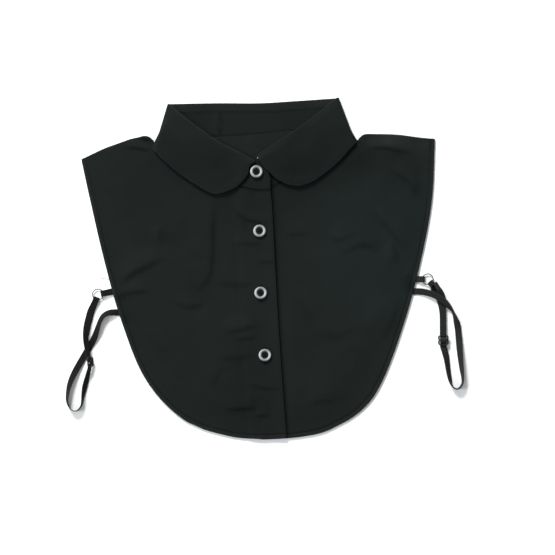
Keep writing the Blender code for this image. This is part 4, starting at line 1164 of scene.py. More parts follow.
class Side:
    """One side fold of the collar, where the layers turn to the back, pressed narrower than it is high."""

    def __init__(self, top, down, outward_sign, depth, spread, pressed):
        self.top = np.array(top, float)
        self.down = np.array(down, float)
        self.outward = outward_sign * np.array([-self.down[1], self.down[0]])
        self.depth = depth
        self.spread = spread
        self.pressed = pressed

    def reach(self, h, radius):
        """How far out of the axis a wall turns that has this radius in height."""
        return np.maximum(radius - np.interp(h, (0, self.depth), self.pressed), 0.1)

    def axis(self, h):
        return self.top + np.multiply.outer(np.asarray(h, float), self.down)

    def opened(self, h):
        """How far the leaf reaches over the fold at each depth, as a share of the fall's radius."""
        return self.spread * smooth_step(0.1, 1.0, np.asarray(h) / self.depth)

    def over_fold(self, h):
        """The line where the leaf meets the fold."""
        return self.axis(h) + self.outward * (self.reach(h, FALL_FOLD_RADIUS) * self.opened(h))[..., None]

    def drop(self, xy):
        """How far the leaf has turned down where it lies over the fold."""
        out = (xy - self.top) @ self.outward / self.reach((xy - self.top) @ self.down, FALL_FOLD_RADIUS)
        return FALL_FOLD_RADIUS * (1 - np.sqrt(1 - np.clip(out, 0, 0.95) ** 2))

    def turn(self, h, offset, opened=None):
        """Points round the fold, from just past the front to just before the back, for one wall."""
        radius = SIDE_CENTRE_Z - BACK_MID - LAYER / 2 + offset
        first = np.arccos(np.zeros(len(radius)) if opened is None else opened)[:, None]
        share = np.linspace(0, 1, FOLD_CELLS + 1)[None, 1:-1]
        angles = first * (1 - share) - math.pi / 2 * share
        out = self.reach(h, radius)[:, None] * np.cos(angles)
        plan = self.axis(h)[:, None, :] + self.outward * out[..., None]
        height = SIDE_CENTRE_Z + radius[:, None] * np.sin(angles)
        return np.concatenate([plan, height[..., None]], axis=2)


FALL_FOLD_RADIUS = SIDE_CENTRE_Z - BACK_MID
LEFT_SIDE = Side(ROLL_LEFT[0], SIDE_LEFT, -1, SIDE_DEPTH_LEFT, 0.9, (1.7, 1.7))
RIGHT_SIDE = Side(ROLL_RIGHT[0], SIDE_RIGHT, 1, SIDE_DEPTH_RIGHT, 0.9, (0.3, 2.5))


def downward(roll, side):
    """The direction from the fold line into the collar, along a front roll that starts at the side."""
    tangent = unit(np.gradient(roll, axis=0))
    square = np.stack([-tangent[:, 1], tangent[:, 0]], axis=1)
    square *= np.where((square @ side.down) < 0, -1.0, 1.0)[:, None]
    blend = np.clip(np.linspace(0, 3, len(roll))[:, None], 0, 1)
    return unit((1 - blend) * side.down + blend * square)


def front_strip(roll, side, h, offset, left):
    """Points at a depth h below a front fold line, at an offset from the middle of the two layers."""
    plan = roll + downward(roll, side) * np.reshape(h, (-1, 1))
    inner, outer = band_height(plan, left), fall_height(plan, left)
    height = (inner + outer) / 2 + (outer - inner) / 2 * offset
    return np.concatenate([plan, height[:, None]], axis=1)


def back_strip(h, offset):
    roll = even(through(ROLL_BACK), BACK_COLUMNS)
    down = np.linspace(LEFT_SIDE.down, RIGHT_SIDE.down, BACK_COLUMNS + 1)
    plan = roll + down * h
    height = np.full(len(plan), BACK_MID + LAYER / 2 * (1 - offset))
    return np.concatenate([plan, height[:, None]], axis=1)


def collar_row(h_front, h_side, h_back, offset):
    """One row of a wall right round the collar: offset 1 is the fall, -1 the band."""
    left_roll = even(through(ROLL_LEFT), FRONT_COLUMNS)
    right_roll = even(through(ROLL_RIGHT), FRONT_COLUMNS)
    depth = h_side + (h_front - h_side) * np.linspace(0, 1, FRONT_COLUMNS + 1)
    left = front_strip(left_roll, LEFT_SIDE, depth, offset, True)[::-1]
    right = front_strip(right_roll, RIGHT_SIDE, depth, offset, False)
    half = np.array([LAYER / 2 * offset])
    left_turn = LEFT_SIDE.turn(np.array([h_side]), half)[0]
    right_turn = RIGHT_SIDE.turn(np.array([h_side]), half)[0][::-1]
    return np.vstack([left, left_turn, back_strip(h_back, offset), right_turn, right])


def leaf_relief(xy, edge, left):
    """A leaf of the fall: a firm edge, a soft crown inside it and a few shallow dents."""
    from_edge, _, place = off_line(xy, edge)
    turned_edge = -0.14 * fade(0, 0.8, from_edge)
    allowance = 0.14 * fade(5.0, 6.6, from_edge) * (1 + 0.5 * wander(place, 9.0, 3.0))
    lifted = (1.2 if left else 0.9) * fade(0, LEAF_LIFT_REACH, from_edge)
    crown = 0.5 * smooth_step(4, 18, from_edge)
    dents = 0.5 * ripple(xy, 21.0, 1.7 if left else 4.9) * smooth_step(3, 12, from_edge)
    return turned_edge + allowance + lifted + crown + dents


def fall_outer():
    """The rows of the fall below its fold line, right round the collar."""
    parts = []
    v = close_at_ends(FALL_ROWS, 0.55)
    for roll, side, edge, end, left in (
        (ROLL_LEFT, LEFT_SIDE, FALL_EDGE_LEFT, FALL_FRONT_LEFT, True),
        (ROLL_RIGHT, RIGHT_SIDE, FALL_EDGE_RIGHT, FALL_FRONT_RIGHT, False),
    ):
        top = even(through(roll), FRONT_COLUMNS)[::-1]
        edge_line = np.vstack([through(edge), side.over_fold(np.array([side.depth]))])
        end_line = through([Point(*top[0]), *end])
        plan = fill(
            top, even(edge_line, FRONT_COLUMNS), at_shares(end_line, v), side.over_fold(v * side.depth), None, v
        )
        rim = np.vstack([end_line[:-1], edge_line])
        from_side = np.linspace(1, 0, FRONT_COLUMNS + 1)
        eased = smooth_step(0, 0.12, v)[:, None] * smooth_step(0, 0.08, from_side)[None]
        height = fall_height(plan, left) + leaf_relief(plan, rim, left) * eased - side.drop(plan)
        parts.append(raised(plan, height))
    left, right = parts
    depth_left, depth_right = v * LEFT_SIDE.depth, v * RIGHT_SIDE.depth
    half = np.full(FALL_ROWS + 1, LAYER / 2)
    behind = np.vstack([
        LEFT_SIDE.axis(LEFT_SIDE.depth), through(FALL_EDGE_BACK), RIGHT_SIDE.axis(RIGHT_SIDE.depth),
    ])
    back = fill(
        even(through(ROLL_BACK), BACK_COLUMNS), even(behind, BACK_COLUMNS),
        LEFT_SIDE.axis(depth_left), RIGHT_SIDE.axis(depth_right), None, v,
    )
    turns = (
        LEFT_SIDE.turn(depth_left, half, LEFT_SIDE.opened(depth_left)),
        RIGHT_SIDE.turn(depth_right, half, RIGHT_SIDE.opened(depth_right))[:, ::-1],
    )
    return np.concatenate([left, turns[0], raised(back, BACK_MID), turns[1], right[:, ::-1]], axis=1)


def fall_grid():
    """The fall: from its seam with the band, up, over the fold line and down to its outer edge."""
    rows = []
    for share in (1.0, 0.75, 0.5, 0.25):
        rows.append(collar_row(ROLL_SEAM_FRONT * share, ROLL_SEAM_BACK * share, ROLL_SEAM_BACK * share, -1.0))
    for step in range(ROLL_CELLS):
        angle = math.pi * (1 - step / ROLL_CELLS)
        lift = -LAYER / 2 * math.sin(angle)
        rows.append(collar_row(lift, lift, lift, math.cos(angle)))
    return np.concatenate([np.array(rows), fall_outer()], axis=0)


def band_grid():
    """The band: from its seam with the fall down to the neck seam."""
    seam = (ROLL_SEAM_FRONT + GAP, ROLL_SEAM_BACK + GAP)
    top = collar_row(seam[0], seam[1], seam[1], -1.0)
    half = np.full(STAND_ROWS + 1, -LAYER / 2)
    parts, lasts, sides = [], [], []
    for side, beyond, end, left, under_fall in (
        (LEFT_SIDE, BAND_TOP_LEFT, BAND_END_LEFT, True, top[: FRONT_COLUMNS + 1, :2]),
        (RIGHT_SIDE, BAND_TOP_RIGHT, BAND_END_RIGHT, False, top[-FRONT_COLUMNS - 1:, :2][::-1]),
    ):
        depth = np.linspace(seam[1], side.depth - GAP, STAND_ROWS + 1)
        lasts.append(side.axis([side.depth - GAP]))
        sides.append(side.axis(depth))
        neck = inset(neck_seam(left), GAP / 2 * (1 if left else -1))
        bottom = np.vstack([neck[::-1], lasts[-1]])
        free_top = through([under_fall[0], *beyond])
        free_end = np.vstack([through(end), bottom[0]])
        first_row = np.vstack([even(free_top, BAND_END_CELLS)[:0:-1], under_fall])
        plan = fill(first_row, bottom, even(free_end, STAND_ROWS), sides[-1])
        from_end, _, _ = off_line(plan, np.vstack([under_fall[0], free_top, free_end]))
        rounded = -0.2 * fade(0, 0.9, from_end) + 0.08 * bell(from_end - 3.0, 1.2)
        if left:
            rounded = rounded + BAND_END_LIFT * fade(0, BAND_END_REACH, from_end)
        parts.append((raised(plan, band_height(plan, left) + rounded), side.turn(depth, half)))
    back_top = back_strip(seam[1], -1.0)[:, :2]
    back = fill(back_top, np.vstack([lasts[0], inset(back_neck(), GAP / 2), lasts[1]]), *sides)
    inside = smooth_step(0, 0.2, np.linspace(0, 1, STAND_ROWS + 1))[:, None]
    inside = inside * smooth_step(0, 0.06, np.linspace(0, 1, BACK_COLUMNS + 1))[None]
    inside = inside * smooth_step(0, 0.06, np.linspace(1, 0, BACK_COLUMNS + 1))[None]
    crease, _ = fold_fields(back, [STAND_CREASE])
    height = STAND_BACK_MID + (crease + 0.16 * ripple(back, 15.0, 6.6)) * inside
    (left, left_turn), (right, right_turn) = parts
    return np.concatenate([left, left_turn, raised(back, height), right_turn[:, ::-1], right[:, ::-1]], axis=1)


def grid_surface(grid):
    """Surface coordinates for a wall that folds: distance along its middle row, and down each column."""
    across = along(grid[len(grid) // 2])
    steps = np.linalg.norm(np.diff(grid, axis=0), axis=2)
    down = np.concatenate([np.zeros((1, grid.shape[1])), np.cumsum(steps, axis=0)])
    return np.stack([np.broadcast_to(across, grid.shape[:2]), down], axis=2)


def rim_wear(grid, reach, seed):
    """Wear along the last row of a wall and its two ends."""
    surface = grid_surface(grid)
    down = surface[-1:, :, 1] - surface[..., 1]
    end = np.minimum(surface[..., 0], surface[0, -1, 0] - surface[..., 0])
    near = np.minimum(down, end)
    return np.clip(bell(near, reach) * (0.5 + 0.5 * wander(surface[..., 0], RUB_SIZE, seed)), 0, 1)


def fall_wear_and_painted_light(grid):
    """The fall's rubbed edge, a painted highlight along its fold line, its painted light and shade patches, and
    the lighter strip above its seam behind the neck.
    """
    row = np.arange(len(grid))[:, None]
    on_left = fade(-14, -8, grid[..., 0])
    # Painted highlight along the fold line, stronger on the left
    roll_line_highlight = (0.4 + 0.5 * on_left) * bell(row - ROLL_ROW - 1.5 * on_left, 2.0 + on_left)
    strip = SEAM_STRIP * (row < ROLL_CELLS / 2)
    return np.clip(rim_wear(grid, 0.9, 5.0) + roll_line_highlight + strip + painted_light_and_shade(grid[..., :2]), -1, 1)


def band_wear_and_painted_light(grid):
    """The band's rubbed rim, its painted light and shade patches, and painted shade beside its lapped end, along
    its crease and by the fold line.
    """
    column = np.arange(grid.shape[1])[None]
    front = FRONT_COLUMNS + BAND_END_CELLS
    on_right = column > grid.shape[1] - front
    # Painted shade beside the lapped end, by the fold line and along the crease
    beside = BAND_END_SHADE * bell(grid[..., 0] - BAND_END_LEFT[-1].x, 4.0) * on_right
    behind = (column > front) & (column < grid.shape[1] - front)
    crease = CREASE_SHADE * bell(grid[..., 0] - STAND_CREASE.line[0].x - 0.8, 1.1) * behind
    under = 0.1 * fade(0, 0.16, np.linspace(0, 1, len(grid)))[:, None]
    worn_and_lit = rim_wear(grid, 0.5, 2.0) * 0.4
    return np.clip(worn_and_lit - beside - under - crease + painted_light_and_shade(grid[..., :2]), -1, 1)


# Sewing

def bead(bm, middle, run, half_sizes):
    """A small rounded piece of thread at a place, along a direction."""
    size = Matrix.Diagonal((*(half * MM for half in half_sizes), 1.0))
    turn = run.to_track_quat("X", "Z").to_matrix().to_4x4()
    bmesh.ops.create_uvsphere(
        bm, u_segments=6, v_segments=4, radius=1.0, matrix=Matrix.Translation(placed(*middle)) @ turn @ size
    )


def rod(bm, first, second, radius, segments):
    """A short straight length of thread between two points, long enough to meet its neighbours."""
    step = second - first
    turn = step.to_track_quat("Z", "X").to_matrix().to_4x4()
    bmesh.ops.create_cone(
        bm, cap_ends=True, segments=segments, radius1=radius * MM, radius2=radius * MM,
        depth=(step.length + radius) * MM, matrix=Matrix.Translation((first + second) / 2 * MM) @ turn,
    )


def stitches(bm, path, pitch, length, radius):
    """A row of stitches along a path of points, sunk a little into the cloth."""
    at = along(path)
    for start in np.arange(pitch / 2, at[-1] - length, pitch):
        ends = [np.array([np.interp(s, at, path[:, k]) for k in range(3)]) for s in (start, start + length)]
        middle, run = (ends[0] + ends[1]) / 2, Vector(ends[1] - ends[0])
        if run.length >= length * 0.3:
            bead(bm, middle + [0, 0, radius * (1 - STITCH_SINK)], run, (length / 2, radius, radius))


def on_cloth(height, plan, thickness):
    """Points of a plan on the upper face of a wall of cloth."""
    return np.concatenate([plan, (height(plan) + thickness / 2)[:, None]], axis=1)


def hem_stitches(front):
    """The stitching of the turned hem of one front."""
    bm = bmesh.new()
    plan = inset(even(front.outline, 240), -HEM_STITCH_IN * front.inward)
    stitches(bm, on_cloth(front.height, plan[3:-2], SHELL), 3.1, 2.3, 0.2)
    return new_piece(f"hem_stitches_{front.name}", mesh_of(bm, "hem_stitches"), THREAD)


def band_stitches(grid):
    """Stitching along the neck seam of the band, on its inner face behind the neck."""
    bm = bmesh.new()
    start = BAND_END_CELLS + FRONT_COLUMNS + FOLD_CELLS
    back = grid[:, start:start + BACK_COLUMNS - 2]
    for row, share in ((STAND_ROWS - 1, 0.1), (0, 0.7)):
        line = back[row] * (1 - share) + back[row + 1] * share
        stitches(bm, line + [0, 0, SHELL / 2], 2.7, 2.0, 0.18)
    return new_piece("band_stitches", mesh_of(bm, "band_stitches"), THREAD)


def buttonhole(number, button, height):
    """A buttonhole worked in satin stitch: two bars of close stitches and a tack at each end."""
    bm = bmesh.new()
    half, reach = BUTTONHOLE_WIDTH / 2, BUTTONHOLE_LENGTH / 2
    upright = number > 1
    bars = ((half * 0.62, half * 0.76), (-half * 0.62, half * 0.76))
    count = int(BUTTONHOLE_LENGTH / SATIN_PITCH)
    for step in range(count + 1):
        t = -reach + BUTTONHOLE_LENGTH * step / count
        at_end = abs(t) > reach - BUTTONHOLE_TACK
        for offset, width in ((0.0, half * 2),) if at_end else bars:
            across, down = np.array([[offset - width / 2, t], [offset + width / 2, t]]).T
            plan = np.stack([across, down] if upright else [down, across], axis=1)
            ends = on_cloth(height, plan + [button.x, button.y], SHELL)
            bead(bm, ends.mean(axis=0) + [0, 0, 0.06], Vector(ends[1] - ends[0]), (width / 2, 0.24, 0.2))
    return new_piece(f"buttonhole_{number}", mesh_of(bm, "buttonhole"), THREAD)


# Buttons

def closed_up(bm):
    """Joins the points that meet, and turns the faces outwards."""
    bmesh.ops.remove_doubles(bm, verts=bm.verts, dist=1e-6)
    bmesh.ops.recalc_face_normals(bm, faces=bm.faces)


def spin_round(bm, geometry, steps):
    """Turns a section right round the Z axis."""
    bmesh.ops.spin(
        bm, geom=geometry, axis=(0, 0, 1), cent=(0, 0, 0), angle=2 * math.pi, steps=steps, use_merge=True
    )
    closed_up(bm)


def turned(bm, profile, steps):
    """A profile turned right round the Z axis."""
    vertices = [bm.verts.new((p.radius * MM, 0, p.height * MM)) for p in profile]
    edges = [bm.edges.new(pair) for pair in zip(vertices, vertices[1:])]
    if profile[0].radius > 0:
        edges.append(bm.edges.new((vertices[-1], vertices[0])))
    spin_round(bm, [*vertices, *edges], steps)


def mesh_as_shown(thing):
    """The mesh of an object with its modifiers or its bevel."""
    bpy.context.view_layer.update()
    return bpy.data.meshes.new_from_object(thing.evaluated_get(bpy.context.evaluated_depsgraph_get()))


def hole_places():
    for step in range(4):
        angle = math.pi / 4 + math.pi / 2 * step
        yield Vector((math.cos(angle), math.sin(angle), 0)) * BUTTON_HOLE_SPREAD * math.sqrt(2)


def drilled_centre():
    """The middle disc of a button, with four holes. Its surface map holds the distance from its centre."""
    bm = bmesh.new()
    turned(bm, BUTTON_CENTRE, 48)
    blank = bpy.data.objects.new("blank", mesh_of(bm, "blank"))
    bm = bmesh.new()
    for place in hole_places():
        bmesh.ops.create_cone(
            bm, cap_ends=True, segments=20, radius1=BUTTON_HOLE_RADIUS * MM, radius2=BUTTON_HOLE_RADIUS * MM,
            depth=6 * MM, matrix=Matrix.Translation(place * MM),
        )
    drill = bpy.data.objects.new("drill", mesh_of(bm, "drill"))
    for thing in (blank, drill):
        bpy.context.scene.collection.objects.link(thing)
    cut = blank.modifiers.new("Holes", "BOOLEAN")
    cut.object = drill
    made = mesh_as_shown(blank)
    for thing in (blank, drill):
        bpy.data.objects.remove(thing)
    bm = bmesh.new()
    bm.from_mesh(made)
    layer = bm.loops.layers.uv.new("surface")
    for face in bm.faces:
        for loop in face.loops:
            loop[layer].uv = (math.hypot(loop.vert.co.x, loop.vert.co.y), loop.vert.co.z)
    bm.to_mesh(made)
    bm.free()
    return made


def thread_cross():
    """The threads that hold a button: two turns over the bridge between each pair of holes."""
    bm = bmesh.new()
    places = list(hole_places())
    for first, second in ((places[0], places[2]), (places[1], places[3])):
        run = (second - first).normalized()
        aside = run.cross(Vector((0, 0, 1)))
        for shift in (-0.2, 0.2):
            points = []
            for t in np.linspace(0, 1, 13):
                rise = 1.2 + 0.42 * math.sin(math.pi * t) ** 0.6 - 1.1 * (1 - math.sin(math.pi * t)) ** 6
                points.append(first.lerp(second, t) + aside * shift + Vector((0, 0, rise + 0.1)))
            for a, b in zip(points, points[1:]):
                rod(bm, a, b, THREAD_RADIUS, 8)
    return mesh_of(bm, "thread_cross")


def button_place(button):
    """How a button stands: on its place, with a slight lean, turned on its threads."""
    middle = placed(button.x, button.y, BUTTON_BASE_Z + button.lift)
    lean = Matrix.Rotation(math.radians(button.lean), 4, "X")
    return Matrix.Translation(middle) @ lean @ Matrix.Rotation(math.radians(button.turn), 4, "Z")


def mark_rim(mesh, middle):
    """Marks how far round each point of a rim is from its left and right sides, for the rim's painted shade
    towards the neck and the hem.
    """
    marks = mesh.attributes.new("wear_and_painted_light", "FLOAT", "POINT")
    for vertex, mark in zip(mesh.vertices, marks.data):
        offset = vertex.co - middle
        mark.value = offset.y**2 / (offset.x**2 + offset.y**2)


def make_buttons(height_at):
    """Each button's rim, middle and thread, and its buttonhole on the cloth below it."""
    bm = bmesh.new()
    turned(bm, BUTTON_RIM, 64)
    rim = mesh_of(bm, "button_rim")
    centre, cross = drilled_centre(), thread_cross()
    for number, button in enumerate(BUTTONS, start=1):
        place = button_place(button)
        for name, mesh, finish, slot in (
            (f"button_rim_{number}", rim, RIM, "button"),
            (f"button_centre_{number}", centre, CENTRE, "button"),
            (f"button_thread_{number}", cross, THREAD, "cloth"),
        ):
            own = mesh.copy()
            own.transform(place)
            piece = new_piece(name, own, finish, [f"button_{number}"] if mesh is rim else ())
            if mesh is rim:
                piece.data.shade_smooth()
                mark_rim(piece.data, place.translation)
        buttonhole(number, button, height_at[number - 1])


# Straps

def tape_frame(positions, leans):
    """The direction across the tape at each point: level, then leaning about the tape's own run."""
    tangent = unit(np.gradient(positions, axis=0))
    across = unit(np.stack([-tangent[:, 1], tangent[:, 0], np.zeros(len(tangent))], axis=1))
    up = np.cross(tangent, across)
    up *= np.sign(up[:, 2])[:, None]
    lean = np.radians(leans)[:, None]
    leaned = np.cos(lean) * across + np.sin(lean) * up
    normal = np.cross(leaned, tangent)
    normal *= np.sign(np.where(np.abs(normal[:, 2]) < 1e-9, 1, normal[:, 2]))[:, None]
    return leaned, normal


def lay_tape(table, end=None):
    """Points and leans of a run of tape whose lower edge lies on the table or at its level."""
    points = []
    for row in table:
        lean = math.radians(row.lean)
        z = TABLE_CLEAR + row.level + (TAPE_WIDTH / 2 + LEAN_CLEAR) * math.sin(lean) + TAPE / 2 * math.cos(lean)
        points.append((row.x, row.y, z, row.lean))
    if end is not None:
        points.append(tuple(end))
    line = through(points, 2)
    return line[:, :3], line[:, 3]


class Slider:
    """A two-slot slider: its middle, its run towards the ring, and how far it leans on its side."""

    def __init__(self, place, heading, lean):
        turn, tip = math.radians(heading), math.radians(lean)
        self.run = np.array([math.cos(turn), math.sin(turn), 0.0])
        level = np.array([-math.sin(turn), math.cos(turn), 0.0])
        self.across = math.cos(tip) * level + math.sin(tip) * np.array([0.0, 0.0, 1.0])
        self.normal = np.cross(self.run, self.across)
        self.normal *= np.sign(self.normal[2])
        low = SLIDER_WIDTH / 2 * math.sin(tip) + BAR / 2 * math.cos(tip)
        stack = 2 * TAPE + 3 * GAP + BAR / 2
        height = max(low, stack * math.cos(tip) + TAPE_WIDTH / 2 * math.sin(tip))
        self.centre = np.array([place.x, place.y, height])

    def at(self, run, normal):
        return self.centre + self.run * run + self.normal * normal

    def matrix(self):
        columns = np.array([self.across, self.run, np.cross(self.across, self.run)]).T
        turned_to = Matrix(columns.tolist()).to_4x4()
        turned_to.translation = placed(*self.centre)
        return turned_to

    def threaded(self):
        """The tape's way through: under the outer bars and over the middle one."""
        under, over = -(BAR / 2 + GAP + TAPE / 2), BAR / 2 + GAP + TAPE / 2
        stations = [
            (-BAR_PITCH - 1.6, under - 0.2), (-BAR_PITCH, under), (-BAR_PITCH + 1.1, under * 0.72),
            (-BAR_PITCH + 1.95, 0.0), (-1.45, over * 0.8), (0.0, over + 0.1), (1.4, over * 0.75),
            (2.2, 0.0), (BAR_PITCH - 1.2, under * 0.75), (BAR_PITCH, under), (BAR_PITCH + 1.6, under - 0.1),
        ]
        return np.array([self.at(run, normal) for run, normal in stations])

    def sewn_end(self):
        """The end that comes back from the ring and hooks under the middle bar."""
        low = -(BAR / 2 + 2 * GAP + 1.5 * TAPE)
        hook = BAR / 2 + GAP + TAPE / 2
        stations = [
            (BAR_PITCH + 1.6, low - 0.1), (BAR_PITCH, low), (2.6, low + 0.5), (1.0, -hook - 0.12), (-0.2, -hook),
        ]
        return np.array([self.at(run, normal) for run, normal in stations])


def ring_wrap(ring, away, rise):
    """Points round the ring's wire, from the upper leg to the lower one, for tape that leaves towards away."""
    centre = np.array([ring.x, ring.y, RING_Z])
    away = unit(np.array([away[0], away[1], 0.0]))
    pivot = centre + away * (RING_RADIUS - WRAP_REACH)
    near, far = (pivot + away * leg for leg in WRAP_LEGS)
    points = [far + [0, 0, rise], near + [0, 0, WRAP_RADIUS]]
    for angle in np.radians([90, 54, 18, -18, -54, -90]):
        rise = np.array([0, 0, WRAP_RADIUS * math.sin(angle)])
        points.append(pivot - away * WRAP_RADIUS * math.cos(angle) + rise)
    points += [near - [0, 0, WRAP_RADIUS], far - [0, 0, WRAP_RADIUS]]
    return np.array(points), np.tile(np.cross(away, [0, 0, 1]), (len(points), 1))


def continuous(across):
    """The same directions, each on the same side as the one before."""
    kept = [unit(across[0])]
    for side in unit(across[1:]):
        kept.append(side if np.dot(side, kept[-1]) >= 0 else -side)
    return np.array(kept)


def tape_piece(node, finish, places, sides, widths):
    """A tape along its middle points, with rounded selvedges and its own surface map."""
    stations = through(np.hstack([places, continuous(sides), widths[:, None]]), 5)
    middle, side, width = stations[:, :3], unit(stations[:, 3:6]), stations[:, 6]
    t = close_at_ends(TAPE_COLUMNS, 0.5) - 0.5
    grid = middle[:, None] + side[:, None] * (t[None, :] * width[:, None])[..., None]
    run = np.broadcast_to(along(middle)[:, None], grid.shape[:2])
    surface = np.stack([t[None, :] * width[:, None] + TAPE_WIDTH, run], axis=2)
    wear_and_painted_light = np.broadcast_to(smooth_step(0.36, 0.5, np.abs(t))[None], grid.shape[:2])
    return cloth_piece(f"{node}_tape", node, grid, surface, wear_and_painted_light, finish, TAPE_SHELL)


def strap_piece(node, finish, run, double, slider, ring, outer=None):
    """One strap: from the back to the slider, through it, on to the ring and back to the slider."""
    ends = [double[-1]] + ([outer[-1]] if outer else [])
    away = np.mean([[end.x - ring.x, end.y - ring.y] for end in ends], axis=0)
    threaded, sewn = slider.threaded(), slider.sewn_end()
    lean = math.degrees(math.asin(abs(slider.across[2])))
    first, first_lean = lay_tape(run, end=[*threaded[0], lean])
    tuck = unit((first[:1] - first[1:2]) * [1, 1, 0]) * TUCKED
    first, first_lean = np.vstack([first[:1] + tuck, first]), np.concatenate([first_lean[:1], first_lean])
    across, _ = tape_frame(first, first_lean)
    lower, lower_lean = lay_tape(double)
    lower_across, normal = tape_frame(lower, lower_lean)
    if outer:
        upper, upper_lean = lay_tape(outer)
        upper_across, _ = tape_frame(upper, upper_lean)
    else:
        upper, upper_across = lower + normal * (TAPE + GAP) + lower_across * LAYER_SLIP, lower_across
    wrap, wrap_across = ring_wrap(ring, away, STRAP_WRAP_RISE)
    places = np.vstack([first[:-1], threaded, upper, wrap, lower[::-1], sewn])
    sides = np.vstack([
        across[:-1], np.tile(slider.across, (len(threaded), 1)), upper_across, wrap_across, lower_across[::-1],
        np.tile(slider.across, (len(sewn), 1)),
    ])
    before = len(first) - 1 + len(threaded) + len(upper)
    widths = np.full(len(places), TAPE_WIDTH)
    widths[before:before + len(wrap)] = TAPE_NECKED
    widths[before - 1] = widths[before + len(wrap)] = (TAPE_WIDTH + TAPE_NECKED) / 2
    return tape_piece(node, finish, places, sides, widths)


def tab_piece(node, finish, ring, end):
    """The short tab of tape that holds a ring at a front's edge."""
    away = unit(np.array([end.x - ring.x, end.y - ring.y]))
    wrap, across = ring_wrap(ring, away, TAB_WRAP_RISE)
    sewn = np.array([end.x, end.y]) + away * TUCKED
    places = np.vstack([
        [[*sewn, BACK_MID + 0.6]], [[end.x, end.y, FRONT_MID - 0.3]], wrap,
        [[end.x, end.y, TAPE / 2]], [[*sewn, BACK_MID]],
    ])
    sides = np.vstack([across[:2], across, across[:2]])
    widths = np.full(len(places), TAPE_NECKED)
    widths[[0, 1, -2, -1]] = TAPE_WIDTH
    return tape_piece(node, finish, places, sides, widths)


def slider_outline():
    """A slider's outer edge: a rounded oblong, pinched at the middle bar."""
    half_length = BAR_PITCH + BAR / 2
    outline = []
    for step in range(SLIDER_POINTS):
        angle = 2 * math.pi * step / SLIDER_POINTS
        bulge = abs(math.cos(angle)) ** 0.45 * math.copysign(1, math.cos(angle))
        rise = abs(math.sin(angle)) ** 0.55 * math.copysign(1, math.sin(angle))
        pinch = 1 - SLIDER_PINCH * math.exp(-((rise * half_length / SLIDER_PINCH_REACH) ** 2))
        outline.append((SLIDER_WIDTH / 2 * bulge * pinch, half_length * rise))
    return outline


def slider_slot(middle):
    """A slot with rounded corners, at a distance from the slider's middle."""
    half = (BAR_PITCH - BAR) / 2
    slot = []
    for corner_x, corner_y, start in ((1, 1, 0), (-1, 1, 90), (-1, -1, 180), (1, -1, 270)):
        for turn in range(0, 91, 15):
            angle = math.radians(start + turn)
            slot.append((
                corner_x * (SLIDER_SLOT / 2 - SLOT_CORNER) + SLOT_CORNER * math.cos(angle),
                middle + corner_y * (half - SLOT_CORNER) + SLOT_CORNER * math.sin(angle),
            ))
    return slot


def slider_piece(name, slider):
    """A slider cut from flat sheet: a pinched outline with two slots and rounded edges."""
    curve = bpy.data.curves.new(name, "CURVE")
    curve.dimensions = "2D"
    curve.fill_mode = "BOTH"
    for line in (slider_outline(), slider_slot(-BAR_PITCH / 2), slider_slot(BAR_PITCH / 2)):
        spline = curve.splines.new("POLY")
        spline.points.add(len(line) - 1)
        for point, (x, y) in zip(spline.points, line):
            point.co = (x * MM, y * MM, 0, 1)
        spline.use_cyclic_u = True
    curve.extrude = (BAR / 2 - SLIDER_ROUND) * MM
    curve.bevel_depth = SLIDER_ROUND * MM
    curve.bevel_resolution = 2
    curve.offset = -SLIDER_ROUND * MM
    shape = bpy.data.objects.new(name, curve)
    bpy.context.scene.collection.objects.link(shape)
    mesh = mesh_as_shown(shape)
    bpy.data.objects.remove(shape)
    bm = bmesh.new()
    bm.from_mesh(mesh)
    closed_up(bm)
    worn_and_lit = bm.verts.layers.float.new("wear_and_painted_light")
    for vertex in bm.verts:
        vertex[worn_and_lit] = 1.0 if abs(vertex.co.z) < (BAR / 2 - 0.1) * MM else 0.0
    bm.to_mesh(mesh)
    bm.free()
    mesh.transform(slider.matrix())
    return new_piece(f"{name}_plate", mesh, ENAMEL, [name])


def ring_piece(name, place):
    """A round ring bent from wire."""
    bm = bmesh.new()
    made = bmesh.ops.create_circle(
        bm, cap_ends=False, segments=14, radius=RING_WIRE / 2 * MM,
        matrix=Matrix.Translation((RING_RADIUS * MM, 0, 0)) @ Matrix.Rotation(math.pi / 2, 4, "X"),
    )
    edges = list({edge for vertex in made["verts"] for edge in vertex.link_edges})
    spin_round(bm, [*made["verts"], *edges], 72)
    bmesh.ops.translate(bm, verts=bm.verts, vec=placed(place.x, place.y, RING_Z))
    return new_piece(f"{name}_wire", mesh_of(bm, name), METAL, [name])


def thread_end(name, points):
    """A loose end of pale sewing thread along a smooth path."""
    line = [Vector((p[0] + PLACE.x, p[1] + PLACE.y, p[2])) for p in through(points, 6)]
    bm = bmesh.new()
    for first, second in zip(line, line[1:]):
        rod(bm, first, second, PALE_THREAD_RADIUS, 6)
    return new_piece(name, mesh_of(bm, name), PALE_THREAD)


def make_table():
    bm = bmesh.new()
    bmesh.ops.create_grid(bm, x_segments=2, y_segments=2, size=4.0)
    table = bpy.data.objects.new("table", mesh_of(bm, "table", False))
    table.data.materials.append(table_finish())
    bpy.context.scene.collection.objects.link(table)


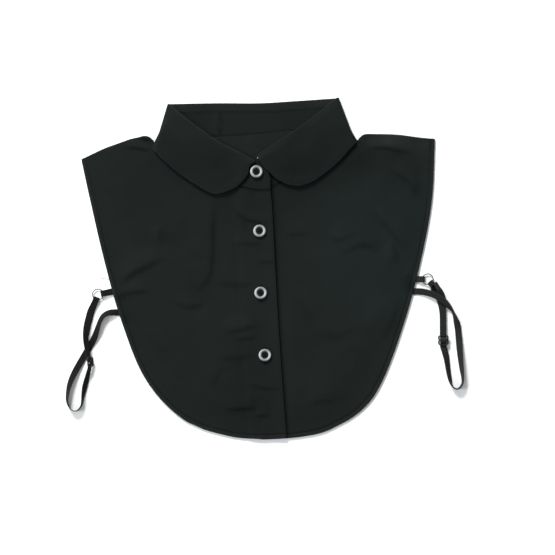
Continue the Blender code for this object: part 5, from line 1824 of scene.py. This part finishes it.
CLOTH_FRONT = cloth_finish("poplin", 0.0093)
CLOTH_COLLAR = cloth_finish("poplin_collar", 0.0086)
TAPE_LEFT = tape_finish("elastic_tape_left", 0.0108)
TAPE_RIGHT = tape_finish("elastic_tape_right", 0.023)
THREAD = thread_finish("sewing_thread", 0.003)
PALE_THREAD = thread_finish("pale_thread", 0.34)
RIM = rim_finish()
CENTRE = centre_finish()
METAL = metal_finish()
ENAMEL = enamel_finish()

make_camera()
make_light()
make_table()

front_left, front_right, back = Front(True), Front(False), Back()
for front, name, node in (
    (front_left, "buttonhole_front_cloth", "front_buttonhole_side"),
    (front_right, "button_front_cloth", "front_button_side"),
):
    grid = front.grid()
    plan = np.nan_to_num(grid[..., :2])
    piece = cloth_piece(name, node, grid, plan, front.wear_and_painted_light(grid), CLOTH_FRONT, SHELL)
    hem_stitches(front)

grid = back.grid()
piece = cloth_piece("back_cloth", "back_panel", grid, grid[..., :2], back.wear_and_painted_light(grid), CLOTH_FRONT, SHELL)

grid = band_grid()
mapped = grid_surface(grid)
piece = cloth_piece("band_cloth", "collar_band", grid, mapped, band_wear_and_painted_light(grid), CLOTH_COLLAR, SHELL)
band_stitches(grid)

grid = fall_grid()
mapped = grid_surface(grid)
piece = cloth_piece("fall_cloth", "collar_fall", grid, mapped, fall_wear_and_painted_light(grid), CLOTH_COLLAR, COLLAR_SHELL)

make_buttons([lambda xy: band_height(xy, True), front_left.height, front_left.height, front_left.height])

left = Slider(SLIDER_LEFT, SLIDER_LEFT_HEADING, SLIDER_LEFT_LEAN)
right = Slider(SLIDER_RIGHT, SLIDER_RIGHT_HEADING, SLIDER_RIGHT_LEAN)
strap_piece("strap_left", TAPE_LEFT, RUN_LEFT, DOUBLE_LEFT, left, RING_LEFT)
strap_piece("strap_right", TAPE_RIGHT, RUN_RIGHT, DOUBLE_RIGHT, right, RING_RIGHT, OUTER_RIGHT)
tab_piece("tab_left", TAPE_LEFT, RING_LEFT, TAB_LEFT_END)
tab_piece("tab_right", TAPE_RIGHT, RING_RIGHT, TAB_RIGHT_END)
slider_piece("slider_left", left)
slider_piece("slider_right", right)
ring_piece("ring_left", RING_LEFT)
ring_piece("ring_right", RING_RIGHT)
thread_end("loose_thread_left", LOOSE_THREAD)
thread_end("thread_knot", THREAD_KNOT)
